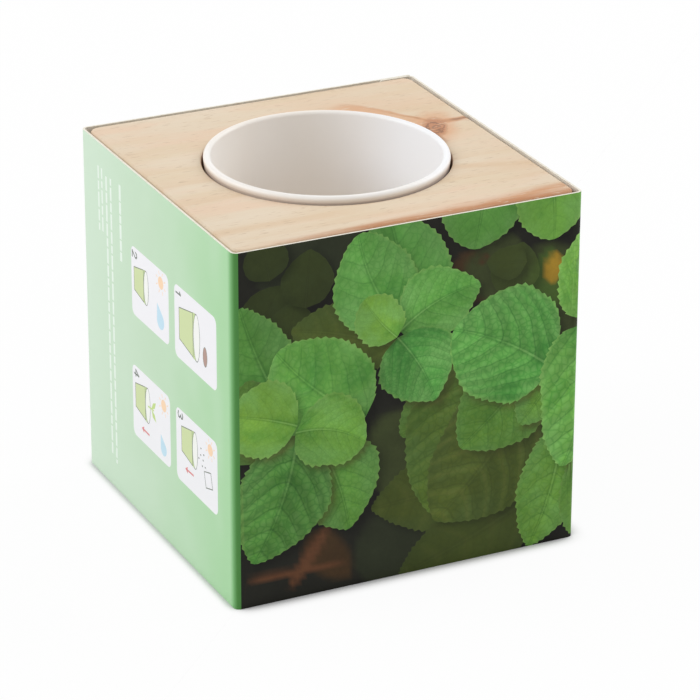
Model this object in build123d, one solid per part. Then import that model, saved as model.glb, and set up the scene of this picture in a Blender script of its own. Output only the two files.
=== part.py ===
"""Indoor herb planter: a bored pine block in a printed card sleeve, with a lift-out liner pot
that holds a pressed soil pellet and a sealed seed sachet.

Millimetres, +Z up. The origin is the middle of the underside, on the surface that the block
stands on. The picture panel of the sleeve faces -Y and the instruction panel faces -X.
"""

from build123d import *
from math import cos, degrees, pi, sin, sqrt
import os

# Pine block, bored from above with a flat-bottomed bit
block_side = 72.9
block_height = 75.0
block_corner_radius = 2.2
block_edge_chamfer = 0.6
bore_diameter = 50.0
bore_depth = 58.0
bore_mouth_chamfer = 0.4
bit_point_diameter = 5.0
bit_point_depth = 2.0

# Card sleeve: one creased strip, wrapped round the block and glued to its own flap
card_thickness = 0.45
sleeve_clearance = 0.6
fold_radius = 1.3
flap_width = 11.0
glue_line_width = 6.0
glue_thickness = 0.05
flap_corner_cut = 4.0
free_edge_setback = 0.35

# Liner pot, moulded with a round lip, a shallow collar, a tapered wall and a foot ring
pot_clearance = 0.35
lip_proud = 1.5
lip_thickness = 1.5
lip_facets = 6
collar_height = 6.0
pot_wall = 1.15
pot_floor = 1.3
pot_floor_diameter = 35.0
pot_floor_bevel = 1.4
foot_ring_height = 0.8
foot_ring_width = 1.8
foot_edge_bevel = 0.4

# Pressed soil pellet on the floor of the pot
pellet_clearance = 0.9
pellet_height = 11.0
pellet_bulge = 0.6
pellet_edge_bevel = 1.5

# Seed sachet, two paper webs sealed round their edges, lying on the pellet
sachet_length = 26.0
sachet_width = 18.0
sachet_seal = 2.4
sachet_corner_radius = 0.8
paper_thickness = 0.12
sachet_swell = 1.9
dome_rise_shares = (0.0, 0.45, 0.8, 1.0)
dome_draw_in_shares = (0.0, 0.10, 0.30, 0.62)

# Seeds, loose between the two webs
seed_length = 1.3
seed_girth = 0.9
seed_sides = 6
seed_tip_bevel = 0.28
seed_count = 18
seed_pitch = 1.35
seed_rest_gap = 0.03

# One overrun serves every cut
overrun = 1.0

# Places that follow from the sizes above
bore_radius = bore_diameter / 2
bore_floor = block_height - bore_depth
sleeve_side = block_side + 2 * (sleeve_clearance + card_thickness)
pot_bottom = bore_floor
pot_height = bore_depth + lip_proud
rim_radius = bore_radius - pot_clearance
lip_radius = lip_thickness / 2
lip_spring = pot_height - lip_radius
pot_inner_floor = foot_ring_height + pot_floor
inner_rim_radius = rim_radius - lip_thickness
inner_floor_radius = pot_floor_diameter / 2
pot_draft = (inner_rim_radius - inner_floor_radius) / (lip_spring - pot_inner_floor)
pellet_bottom = pot_bottom + pot_inner_floor
pellet_radius = inner_floor_radius - pellet_clearance
sachet_bottom = pellet_bottom + pellet_height


def wood_block():
    """The cube, eased on every edge, with the bore and the pit that the bit's point leaves."""
    footprint = RectangleRounded(block_side, block_side, block_corner_radius)
    block = extrude(footprint, block_height)
    outer_rims = block.faces().filter_by(Axis.Z).edges()
    block = chamfer(outer_rims, block_edge_chamfer)
    bore = Pos(0, 0, bore_floor) * extrude(Circle(bore_radius), bore_depth + overrun)
    block -= bore
    mouth = block.edges().filter_by(GeomType.CIRCLE)
    mouth = mouth.filter_by(lambda edge: abs(edge.radius - bore_radius) < bore_mouth_chamfer)
    block = chamfer(mouth.sort_by(Axis.Z)[-1], bore_mouth_chamfer)
    point_slope = bit_point_diameter / 2 / bit_point_depth
    point = make_face(
        Polyline(
            (0, bore_floor - bit_point_depth),
            (point_slope * (bit_point_depth + overrun), bore_floor + overrun),
            (0, bore_floor + overrun),
            close=True,
        )
    )
    return block - revolve(Plane.XZ * point, Axis.Z)


def card_sleeve():
    """The wrap seen from above: a strip of card that starts at its free edge behind the block,
    turns four creases and ends in the flap, which a line of glue holds inside the back panel."""
    half = sleeve_side / 2 - card_thickness / 2
    flap_line = half - card_thickness - glue_thickness
    strip_path = FilletPolyline(
        (half + card_thickness / 2 - free_edge_setback, half),
        (-half, half),
        (-half, -half),
        (half, -half),
        (half, flap_line),
        (half - flap_width, flap_line),
        radius=fold_radius - card_thickness / 2,
    )
    wrap = trace(strip_path, card_thickness)
    glue_line = Pos(half - flap_width / 2, (half + flap_line) / 2) * Rectangle(
        glue_line_width, card_thickness + glue_thickness
    )
    sleeve = extrude(wrap + glue_line, block_height)
    # The flap's ends are cut on the slant, so that it tucks in without catching.
    flap_end = half - flap_width
    glued_face = sleeve_side / 2 - card_thickness
    slant = Polyline(
        (flap_end - overrun, -overrun),
        (flap_end + flap_corner_cut + overrun, -overrun),
        (flap_end - overrun, flap_corner_cut + overrun),
        close=True,
    )
    wedge = Plane.XZ.offset(-glued_face) * make_face(slant)
    lower_cut = extrude(wedge, sleeve_clearance)
    upper_cut = Pos(0, 0, block_height) * mirror(lower_cut, Plane.XY)
    return sleeve - lower_cut - upper_cut


def pot_inside(height):
    """The radius of the pot's tapered inside at a height above its foot."""
    return inner_floor_radius + pot_draft * (height - pot_inner_floor)


def grow_pot():
    """The liner, turned from its half section; its foot ring stands on the floor of the bore."""
    collar_bottom = lip_spring - collar_height
    ledge = collar_bottom - (lip_thickness - pot_wall)
    foot_radius = pot_inside(0) + pot_wall
    ring_inner = foot_radius - foot_ring_width
    lip_turns = [pi * step / lip_facets for step in range(lip_facets + 1)]
    lip_centre = rim_radius - lip_radius
    lip = [(lip_centre + lip_radius * cos(t), lip_spring + lip_radius * sin(t)) for t in lip_turns]
    outline = Polyline(
        (0, foot_ring_height),
        (ring_inner, foot_ring_height),
        (ring_inner, 0),
        (foot_radius, 0),
        (pot_inside(ledge) + pot_wall, ledge),
        (pot_inside(collar_bottom) + lip_thickness, collar_bottom),
        *lip,
        (inner_floor_radius, pot_inner_floor),
        (0, pot_inner_floor),
        close=True,
    )
    section = make_face(outline)
    inner_corner = section.vertices().sort_by_distance((inner_floor_radius, pot_inner_floor))[0]
    section = chamfer(inner_corner, pot_floor_bevel)
    outer_corner = section.vertices().sort_by_distance((foot_radius, 0))[0]
    section = chamfer(outer_corner, foot_edge_bevel)
    return Pos(0, 0, pot_bottom) * revolve(Plane.XZ * section, Axis.Z)


def soil_pellet():
    """A round cake of pressed soil: its side swells a little and both its rims are eased."""
    face_radius = pellet_radius - pellet_bulge
    half_section = make_face(
        Polyline(
            (0, 0),
            (face_radius, 0),
            (pellet_radius, pellet_height / 2),
            (face_radius, pellet_height),
            (0, pellet_height),
            close=True,
        )
    )
    cake = revolve(Plane.XZ * half_section, Axis.Z)
    rims = cake.faces().filter_by(GeomType.PLANE).edges()
    return Pos(0, 0, pellet_bottom) * chamfer(rims, pellet_edge_bevel)


def flat_web():
    """One paper web of the sachet, flat."""
    return extrude(
        RectangleRounded(sachet_length, sachet_width, sachet_corner_radius), paper_thickness
    )


def swollen_body(seal, height):
    """The domed middle of the sachet: its outline draws in faster and faster as it rises."""
    half_width = sachet_width / 2 - seal
    half_length = sachet_length / 2 - seal
    sections = []
    for rise, draw_in in zip(dome_rise_shares, dome_draw_in_shares):
        inset = half_width * draw_in
        outline = Rectangle(2 * (half_length - inset), 2 * (half_width - inset))
        sections.append(Pos(0, 0, height * rise) * outline)
    return loft(sections, ruled=True)


def sachet_back_web():
    """The flat lower web."""
    return Pos(0, 0, sachet_bottom) * flat_web()


def sachet_front_web():
    """The upper web: a flat seal all round and a domed middle, hollow underneath."""
    web = flat_web() + swollen_body(sachet_seal, sachet_swell)
    web -= swollen_body(sachet_seal + paper_thickness, sachet_swell - paper_thickness)
    return Pos(0, 0, sachet_bottom + paper_thickness) * web


def herb_seeds():
    """Plump seeds, eased at both ends, spread along a sunflower spiral and turned about."""
    golden_turn = pi * (3 - sqrt(5))
    waist = RegularPolygon(seed_girth / 2, seed_sides)
    seed = extrude(Plane.YZ * waist, seed_length / 2, both=True)
    ends = seed.faces().sort_by(Axis.X)
    seed = chamfer(ends[0].edges() + ends[-1].edges(), seed_tip_bevel)
    height = sachet_bottom + paper_thickness + seed_rest_gap + seed_girth / 2
    seeds = []
    for number in range(seed_count):
        reach = seed_pitch * sqrt(number + 1 / 2)
        turn = golden_turn * number
        across = reach * sin(turn) * sachet_width / sachet_length
        seeds.append(Pos(reach * cos(turn), across, height) * Rot(0, 0, degrees(turn)) * seed)
    return Compound(children=seeds)


def write_parts():
    """Builds every piece and writes one file for each."""
    os.makedirs("parts", exist_ok=True)
    pieces = (
        wood_block,
        card_sleeve,
        grow_pot,
        soil_pellet,
        sachet_back_web,
        sachet_front_web,
        herb_seeds,
    )
    for piece in pieces:
        export_step(piece(), f"parts/{piece.__name__}.step")


write_parts()
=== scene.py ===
"""Looks of an indoor herb planter: a bored pine block in a printed card sleeve, with a white
liner pot that holds a pressed soil pellet and a seed sachet.

Blender units are metres, +Z up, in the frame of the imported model. The sizes in the classes are
millimetres. The picture panel of the sleeve faces -Y and the instruction panel faces -X.
"""

import logging
import math
from dataclasses import dataclass, field, replace
from enum import Enum, IntEnum
from functools import cached_property
from typing import Any, Callable, Mapping, Sequence

import bmesh
import bpy
import numpy as np
from mathutils import Matrix, Vector
from mathutils.geometry import delaunay_2d_cdt


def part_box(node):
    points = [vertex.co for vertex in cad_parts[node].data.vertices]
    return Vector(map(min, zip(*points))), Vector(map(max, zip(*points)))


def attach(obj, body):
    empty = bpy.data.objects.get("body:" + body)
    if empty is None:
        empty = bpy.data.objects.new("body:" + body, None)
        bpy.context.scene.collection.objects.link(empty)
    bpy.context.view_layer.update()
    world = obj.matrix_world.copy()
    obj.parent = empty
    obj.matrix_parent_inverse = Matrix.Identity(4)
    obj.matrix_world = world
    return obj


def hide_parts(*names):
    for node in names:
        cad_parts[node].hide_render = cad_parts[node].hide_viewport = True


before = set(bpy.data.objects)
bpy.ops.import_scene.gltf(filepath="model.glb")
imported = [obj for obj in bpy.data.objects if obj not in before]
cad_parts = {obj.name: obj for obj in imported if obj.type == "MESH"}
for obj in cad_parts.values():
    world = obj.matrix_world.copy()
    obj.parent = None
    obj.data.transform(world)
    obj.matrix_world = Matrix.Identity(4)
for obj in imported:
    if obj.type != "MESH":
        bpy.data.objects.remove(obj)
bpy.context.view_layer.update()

LOG = logging.getLogger("herb_planter")
MM = 0.001
GOLDEN_TURN = math.pi * (3 - math.sqrt(5))
GOLDEN_SHARE = 0.618
PANEL_UV = 100.0
TOUCH = 1e-9
NOBODY = -1
OFF_PICTURE = -2

Colour = tuple[float, float, float, float]
Point = tuple[float, float]
Range = tuple[float, float]
Triple = tuple[float, float, float]


def ink(code: str) -> Colour:
    """Turns a six-figure colour code into the linear colour that a shader reads.

    Args:
        code: Red, green and blue as two hexadecimal figures each.

    Returns:
        The linear colour, fully opaque.
    """
    shares = [int(code[at : at + 2], 16) / 255 for at in (0, 2, 4)]
    linear = [c / 12.92 if c <= 0.04045 else ((c + 0.055) / 1.055) ** 2.4 for c in shares]
    return (linear[0], linear[1], linear[2], 1.0)


@dataclass(frozen=True)
class Extent:
    """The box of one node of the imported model, in millimetres."""

    width: float
    depth: float
    bottom: float
    top: float

    @classmethod
    def of(cls, node: str) -> "Extent":
        """Measures a node.

        Args:
            node: The node's name.

        Returns:
            Its extent, to a hundredth of a millimetre.
        """
        low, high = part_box(node)
        measures = (high[0] - low[0], high[1] - low[1], low[2], high[2])
        return cls(*(round(measure / MM, 2) for measure in measures))

    @property
    def height(self) -> float:
        """How tall the node is."""
        return round(self.top - self.bottom, 2)


BLOCK = Extent.of("wood_block")
SLEEVE = Extent.of("card_sleeve")
POT = Extent.of("grow_pot")
PELLET = Extent.of("soil_pellet")
WEB = Extent.of("sachet_back_web")


def channels(*values: Any) -> np.ndarray:
    """Puts values side by side in a new last axis, each spread over the largest of them."""
    return np.stack(np.broadcast_arrays(*values), axis=-1)


# Shader maths


class Signal:
    """A value, colour or vector on its way through a finish, with Python's operators."""

    def __init__(self, recipe: "Recipe", socket: bpy.types.NodeSocket) -> None:
        """Wraps one output socket.

        Args:
            recipe: The recipe that the socket belongs to.
            socket: The output socket.
        """
        self.recipe = recipe
        self.socket = socket

    def __add__(self, other: Any) -> "Signal":
        """This plus other."""
        return self.recipe.maths("ADD", self, other)

    def __sub__(self, other: Any) -> "Signal":
        """This less other."""
        return self.recipe.maths("SUBTRACT", self, other)

    def __rsub__(self, other: Any) -> "Signal":
        """Other less this."""
        return self.recipe.maths("SUBTRACT", other, self)

    def __mul__(self, other: Any) -> "Signal":
        """This times other."""
        return self.recipe.maths("MULTIPLY", self, other)

    def __truediv__(self, other: Any) -> "Signal":
        """This divided by other."""
        return self.recipe.maths("DIVIDE", self, other)

    def __abs__(self) -> "Signal":
        """This without its sign."""
        return self.recipe.maths("ABSOLUTE", self)


class Recipe:
    """The nodes of one material or of the world, written as expressions."""

    def __init__(self, owner: bpy.types.ID) -> None:
        """Starts with an empty node tree.

        Args:
            owner: The material or world that the nodes belong to.
        """
        self.owner = owner
        owner.use_nodes = True
        self.tree = owner.node_tree
        self.tree.nodes.clear()

    @classmethod
    def material(cls, name: str) -> "Recipe":
        """A recipe for a new material of this name."""
        return cls(bpy.data.materials.new(name))

    @cached_property
    def at(self) -> Signal:
        """The point on the piece, in millimetres."""
        return self.scaled(self.node("ShaderNodeTexCoord", result="Object"), 1 / MM)

    @cached_property
    def axes(self) -> tuple[Signal, Signal, Signal]:
        """The X, Y and Z of that point."""
        return self.parts(self.at)

    def node(
        self,
        kind: str,
        settings: Mapping[str, Any] | None = None,
        sockets: Mapping[str | int, Any] | None = None,
        result: str | int = 0,
    ) -> Signal:
        """Adds one node.

        Args:
            kind: The node's type.
            settings: Its settings, which are set before its sockets; stops are a ramp's.
            sockets: A value or a signal for each input, by name or number.
            result: The output that is wanted, by name or number.

        Returns:
            The signal of that output.
        """
        made = self.tree.nodes.new(kind)
        for name, value in (settings or {}).items():
            if name == "stops":
                self._set_stops(made.color_ramp, value)
            else:
                setattr(made, name, value)
        for name, value in (sockets or {}).items():
            socket = made.inputs[name]
            if isinstance(value, Signal):
                self.tree.links.new(value.socket, socket)
            else:
                socket.default_value = value
        return Signal(self, made.outputs[result])

    @staticmethod
    def _set_stops(ramp: bpy.types.ColorRamp, stops: Sequence[tuple[float, Colour]]) -> None:
        """Gives a ramp its stops, in rising order."""
        while len(ramp.elements) < len(stops):
            ramp.elements.new(1.0)
        for element, (place, colour) in zip(ramp.elements, stops):
            element.position = place
            element.color = colour

    def maths(self, operation: str, first: Any, second: Any = 0.0) -> Signal:
        """One step of arithmetic on values."""
        return self.node("ShaderNodeMath", {"operation": operation}, {0: first, 1: second})

    def vectors(self, operation: str, first: Any, second: Any) -> Signal:
        """One step of arithmetic on vectors, or on colours as vectors."""
        return self.node("ShaderNodeVectorMath", {"operation": operation}, {0: first, 1: second})

    def scaled(self, vector: Signal, share: Any) -> Signal:
        """A vector or colour times one value."""
        settings = {"operation": "SCALE"}
        return self.node("ShaderNodeVectorMath", settings, {0: vector, "Scale": share})

    def parts(self, vector: Signal) -> tuple[Signal, Signal, Signal]:
        """The three parts of a vector."""
        made = self.node("ShaderNodeSeparateXYZ", {}, {0: vector})
        return tuple(Signal(self, out) for out in made.socket.node.outputs)

    def joined(self, first: Any, second: Any, third: Any = 0.0) -> Signal:
        """A vector of three values."""
        return self.node("ShaderNodeCombineXYZ", {}, {0: first, 1: second, 2: third})

    def distance(self, first: Signal, second: Signal) -> Signal:
        """How long a step is that goes this far along two axes."""
        return self.maths("SQRT", first * first + second * second)

    def noise(self, at: Signal, scale: float, detail: float = 2.0, rough: float = 0.5) -> Signal:
        """Cloudy noise between 0 and 1."""
        sockets = {"Vector": at, "Scale": scale, "Detail": detail, "Roughness": rough}
        return self.node("ShaderNodeTexNoise", {}, sockets)

    def streaks(
        self, size: Triple, detail: float = 2.0, shift: Triple | None = None, at: Signal | None = None
    ) -> Signal:
        """Noise between 0 and 1 that is drawn out along the axes.

        Args:
            size: How long its blots are along X, Y and Z, in millimetres.
            detail: How many finer layers it has.
            shift: Moves it, so that it differs from other noise of its kind.
            at: Where it is read, if not at the point on the piece.

        Returns:
            The noise.
        """
        spot = at or self.at
        if shift:
            spot = self.vectors("ADD", spot, shift)
        drawn = self.vectors("MULTIPLY", spot, tuple(1 / length for length in size))
        return self.noise(drawn, 1.0, detail)

    def cells(self, at: Signal, scale: float, feature: str, result: str = "Distance") -> Signal:
        """Cells that crowd together, by their distance or colour."""
        sockets = {"Vector": at, "Scale": scale}
        return self.node("ShaderNodeTexVoronoi", {"feature": feature}, sockets, result)

    def rise(self, value: Any, low: float, high: float) -> Signal:
        """Rises smoothly from 0 at low to 1 at high, and falls where low is the higher one."""
        sockets = {0: value, 1: low, 2: high, 3: 0.0, 4: 1.0}
        return self.node("ShaderNodeMapRange", {"interpolation_type": "SMOOTHSTEP"}, sockets)

    def over(self, share: Any, under: Any, upper: Any) -> Signal:
        """Lays a share of one colour over another."""
        sockets = {0: share, 6: under, 7: upper}
        return self.node("ShaderNodeMix", {"data_type": "RGBA"}, sockets, 2)

    def coated(self, base: Any, *coats: tuple[Any, Any]) -> Signal:
        """Lays coats over a base colour, each given as its share and its colour."""
        for share, colour in coats:
            base = self.over(share, base, colour)
        return base

    def attribute(self, name: str) -> tuple[Signal, Signal]:
        """The colour and the fourth channel of one of the piece's own attributes."""
        made = self.node("ShaderNodeAttribute", {"attribute_name": name})
        outputs = made.socket.node.outputs
        return Signal(self, outputs["Color"]), Signal(self, outputs["Alpha"])

    def bump(self, height: Signal, depth: float, strength: float) -> Signal:
        """A relief of this many millimetres for a height between 0 and 1."""
        sockets = {"Strength": strength, "Distance": depth * MM, "Height": height}
        return self.node("ShaderNodeBump", {}, sockets)

    def surface(
        self, colour: Signal, roughness: Signal, relief: Signal, **others: float
    ) -> bpy.types.Material:
        """Closes the recipe with a surface shader.

        Args:
            colour: The colour of the surface.
            roughness: Its roughness.
            relief: Its bumped normal.
            others: Further sockets, with their blanks as underlines.

        Returns:
            The finished material.
        """
        sockets = {"Base Color": colour, "Roughness": roughness, "Normal": relief}
        sockets |= {name.replace("_", " "): value for name, value in others.items()}
        self.close("ShaderNodeOutputMaterial", self.node("ShaderNodeBsdfPrincipled", {}, sockets))
        return self.owner

    def satin_print(self, colour: Signal, grain: Signal, gloss: float) -> bpy.types.Material:
        """Closes the recipe as a satin print, with the card's faint tooth under it."""
        relief = self.bump(grain, 0.012, 0.5)
        return self.surface(colour, grain * 0.10 + 0.46, relief, Specular_IOR_Level=gloss)

    def close(self, kind: str, shader: Signal) -> None:
        """Links a shader to the output node of a material or world."""
        output = self.tree.nodes.new(kind)
        self.tree.links.new(shader.socket, output.inputs["Surface"])


# Finishes


@dataclass(frozen=True)
class PineFinish:
    """Sanded bare pine as solid wood, its grain along X, with one knot and a darker band.

    Lengths are millimetres. A range runs from where a tint is absent to where it is full.
    """

    sapwood: Colour = ink("e4d4bd")
    pinkish: Colour = ink("e6cdb4")
    straw: Colour = ink("e1ceb2")
    latewood: Colour = ink("dabd9a")
    band: Colour = ink("ca8f62")
    edge_band: Colour = ink("b4774c")
    salmon: Colour = ink("d9a47c")
    knot: Colour = ink("bd8562")
    knot_line: Colour = ink("7f5843")
    bore_wall: Colour = ink("8f5f42")
    fleck: Colour = ink("b59677")

    top: float = BLOCK.top
    bore_radius: float = 25.0
    bore_floor: float = POT.bottom
    ring_pitch: float = 3.4
    pith_y: float = 52.0
    pith_z: float = -48.0
    knot_x: float = 27.6
    knot_y: float = 6.8
    knot_width: float = 2.4
    knot_length: float = 5.2
    knot_turn: float = 64.0
    knot_push_along: float = 150.0
    knot_push_across: float = 60.0
    branch_lean: float = 0.18
    band_lean: float = 0.16
    band_out: float = 35.3
    band_widening: float = 0.085
    band_soft: Range = (1.7, -1.3)
    band_along: Range = (-28.0, 0.0)
    edge_line_y: Range = (-34.0, -35.8)
    edge_line_along: Range = (-34.0, -14.0)
    edge_line_depth: Range = (2.6, 0.8)
    faint_front_y: float = 27.2
    faint_front_soft: Range = (2.6, 0.4)
    faint_front_along: Range = (2.0, -16.0)
    faint_right_y: float = 8.4
    faint_right_lean: float = 0.3
    faint_right_soft: Range = (2.2, 0.2)
    faint_right_along: Range = (12.0, 22.0)
    faint_depth: Range = (9.0, 1.5)
    warm_corner: Range = (6.0, 34.0)
    line_y: float = 9.2
    line_swing: float = 17.0
    swing_along: Range = (31.5, 16.0)
    line_soft: Range = (1.7, 0.3)
    core_soft: Range = (0.9, 0.1)
    core_along: Range = (24.0, 29.5)
    line_depth: Range = (9.0, 1.0)
    inside_near: Range = (1.5, -2.0)
    inside_far: Range = (-11.0, -4.0)
    inside_left: Range = (8.0, 18.0)
    inside_right: Range = (33.0, 25.0)

    sway_size: Triple = (70.0, 22.0, 22.0)
    quiver_size: Triple = (17.0, 5.0, 5.0)
    patch_size: Triple = (26.0, 7.0, 7.0)
    hue_size: Triple = (34.0, 6.0, 6.0)
    ring_fade_size: Triple = (60.0, 16.0, 16.0)
    fibre_size: Triple = (9.0, 0.28, 0.28)
    pale_fibre_size: Triple = (14.0, 0.5, 0.5)
    ragged_size: Triple = (16.0, 2.4, 6.0)
    band_tone_size: Triple = (12.0, 1.1, 1.4)
    line_sway_size: Triple = (6.0, 3.0, 9.0)
    duct_size: Triple = (3.2, 0.34, 0.34)
    glint_size: Triple = (2.4, 0.6, 0.6)

    def build(self) -> bpy.types.Material:
        """Writes the nodes and returns the material."""
        wood = Recipe.material("bare_pine")
        x, y, z = wood.axes
        depth = self.top - z
        ring = self._ring(wood, depth)
        fibre = wood.streaks(self.fibre_size, 3.0)
        patches = wood.streaks(self.patch_size)
        hue = wood.streaks(self.hue_size, shift=(91.0, 17.0, 5.0))
        pale_fibre = wood.streaks(self.pale_fibre_size, shift=(3.0, 40.0, 9.0))
        ring_strength = wood.rise(wood.streaks(self.ring_fade_size, 1.0), 0.35, 0.65)
        colour = wood.coated(
            self.sapwood,
            (wood.rise(patches, 0.38, 0.66), self.pinkish),
            (wood.rise(hue, 0.45, 0.70), self.straw),
            (ring * (ring_strength * 0.38 + 0.06), self.latewood),
            (wood.rise(fibre, 0.48, 0.72) * 0.22, self.latewood),
            (wood.rise(pale_fibre, 0.52, 0.75) * 0.35, self.sapwood),
            (wood.rise(x + y * 0.5, *self.warm_corner) * 0.26, self.latewood),
        )
        colour = self._banded(wood, colour, depth)
        colour = self._lined(wood, colour, depth, patches)
        colour = self._knotted(wood, colour, depth)
        # Painted shade on the wall of the bore and the inner edge of its eased mouth.
        from_axis = wood.distance(x, y)
        painted_bore_shade = wood.rise(from_axis, self.bore_radius + 0.14, self.bore_radius + 0.02)
        painted_bore_shade = painted_bore_shade * wood.rise(z, self.bore_floor - 1.5, self.bore_floor - 0.5)
        fleck = wood.rise(wood.streaks(self.duct_size, 1.0, (7.0, 3.0, 60.0)), 0.64, 0.74)
        glint = wood.streaks(self.glint_size, shift=(50.0, 9.0, 2.0))
        colour = wood.coated(
            colour,
            (fleck * 0.55, self.fleck),
            (wood.rise(glint, 0.60, 0.74) * 0.45, self.sapwood),
            # Painted shade in the bore.
            (painted_bore_shade * (hue * 0.3 + 0.6), self.bore_wall),
        )
        relief = wood.bump(fibre * 0.5 + ring * 0.3 - fleck * 0.6, 0.05, 0.6)
        return wood.surface(colour, 0.66 - ring * 0.08 + fibre * 0.06, relief, IOR=1.45)

    def _from_knot(self, wood: Recipe, depth: Signal) -> tuple[Signal, Signal]:
        """How far a point lies from the knot's middle along X and Y, as its branch leans."""
        x, y, _ = wood.axes
        return x - self.knot_x, y - (depth * self.branch_lean + self.knot_y)

    def _ring(self, wood: Recipe, depth: Signal) -> Signal:
        """The late wood of each year: 1 there and 0 elsewhere, pushed aside by the knot."""
        _, y, z = wood.axes
        along, across = self._from_knot(wood, depth)
        far = along * along / self.knot_push_along + across * across / self.knot_push_across
        pushed = wood.maths("EXPONENT", far * -1.0)
        sway = wood.streaks(self.sway_size, 1.0)
        quiver = wood.streaks(self.quiver_size, 1.0)
        grain_y = y - across * pushed * 0.8 + (sway - 0.5) * 6.0 + (quiver - 0.5) * 1.8
        age = wood.distance(grain_y - self.pith_y, z - self.pith_z)
        uneven = wood.noise(age * 0.11, 1.0, 1.0)
        year = wood.maths("FRACT", age / self.ring_pitch + uneven * 2.6)
        return wood.rise(year, 0.25, 0.93) * wood.rise(year, 1.0, 0.95)

    def _banded(self, wood: Recipe, colour: Signal, depth: Signal) -> Signal:
        """Adds the darker band along -Y, which widens towards +X, and fainter bands beside it."""
        x, y, _ = wood.axes
        ragged = wood.streaks(self.ragged_size, 3.0)
        edge = (x + 12.0) * self.band_widening - self.band_out + (ragged - 0.5) * 2.2
        edge = edge - depth * self.band_lean
        band = wood.rise(y - edge, *self.band_soft) * wood.rise(x, *self.band_along)
        tone = wood.rise(wood.streaks(self.band_tone_size, 3.0), 0.3, 0.7)
        edge_line = wood.rise(y + (ragged - 0.5) * 1.2, *self.edge_line_y)
        edge_line = edge_line * wood.rise(x, *self.edge_line_along)
        edge_line = edge_line * wood.rise(depth, *self.edge_line_depth)
        from_front = abs(y + self.faint_front_y + x * 0.01)
        faint_front = wood.rise(from_front, *self.faint_front_soft)
        faint_front = faint_front * wood.rise(x, *self.faint_front_along)
        from_right = abs(y + self.faint_right_y + x * self.faint_right_lean)
        faint_right = wood.rise(from_right, *self.faint_right_soft)
        faint_right = faint_right * wood.rise(x, *self.faint_right_along)
        faint = (faint_front + faint_right) * wood.rise(depth, *self.faint_depth)
        return wood.coated(
            colour,
            (band * (tone * 0.5 + 0.38), self.band),
            (edge_line * (tone * 0.35 + 0.4), self.edge_band),
            (faint * 0.60, self.latewood),
        )

    def _lined(self, wood: Recipe, colour: Signal, depth: Signal, patches: Signal) -> Signal:
        """Adds the dark line of grain that swings round the knot, and the warm wood inside it."""
        x, y, _ = wood.axes
        swing = wood.rise(x, *self.swing_along) * self.line_swing + self.line_y
        sway = (wood.streaks(self.line_sway_size) - 0.5) * 2.4
        from_line = y - depth * self.branch_lean - swing + sway
        near_line = abs(from_line)
        near_top = wood.rise(depth, *self.line_depth)
        inside = wood.rise(from_line, *self.inside_near) * wood.rise(from_line, *self.inside_far)
        inside = inside * wood.rise(x, *self.inside_left) * wood.rise(x, *self.inside_right)
        fading = wood.rise(x, 10.0, 27.0) * 0.75 + wood.rise(x, 27.0, 30.0) * 0.25
        line = wood.rise(near_line, *self.line_soft) * fading
        core = wood.rise(near_line, *self.core_soft) * wood.rise(x, *self.core_along)
        return wood.coated(
            colour,
            (inside * near_top * (patches * 0.5 + 0.42), self.salmon),
            (line * near_top * 0.85, self.band),
            (core * near_top * (patches * 0.5 + 0.45), self.knot_line),
        )

    def _knotted(self, wood: Recipe, colour: Signal, depth: Signal) -> Signal:
        """Adds the knot with its own rings, its halo and the scorched wood beside the bore."""
        along, across = self._from_knot(wood, depth)
        turn = math.radians(self.knot_turn)
        long_way = (along * math.cos(turn) + across * math.sin(turn)) / self.knot_length
        short_way = (along * math.sin(turn) - across * math.cos(turn)) / self.knot_width
        uneven = wood.noise(wood.at, 0.35, 3.0, 0.6)
        reach = wood.distance(long_way, short_way) + (uneven - 0.5) * 0.9
        year = wood.maths("SINE", reach * 13.0 + uneven * 12.0)
        rings = wood.over(wood.rise(year, 0.0, 0.9) * 0.80, self.knot, self.knot_line)
        from_axis = wood.distance(*wood.axes[:2])
        by_rim = wood.rise(from_axis, self.bore_radius + 2.0, self.bore_radius + 0.3)
        return wood.coated(
            colour,
            (wood.rise(reach, 2.5, 0.9) * 0.70, self.salmon),
            (wood.rise(reach, 1.25, 0.75) * 0.90, rings),
            (by_rim * wood.rise(reach, 2.4, 1.2) * 0.75, self.bore_wall),
        )


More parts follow.
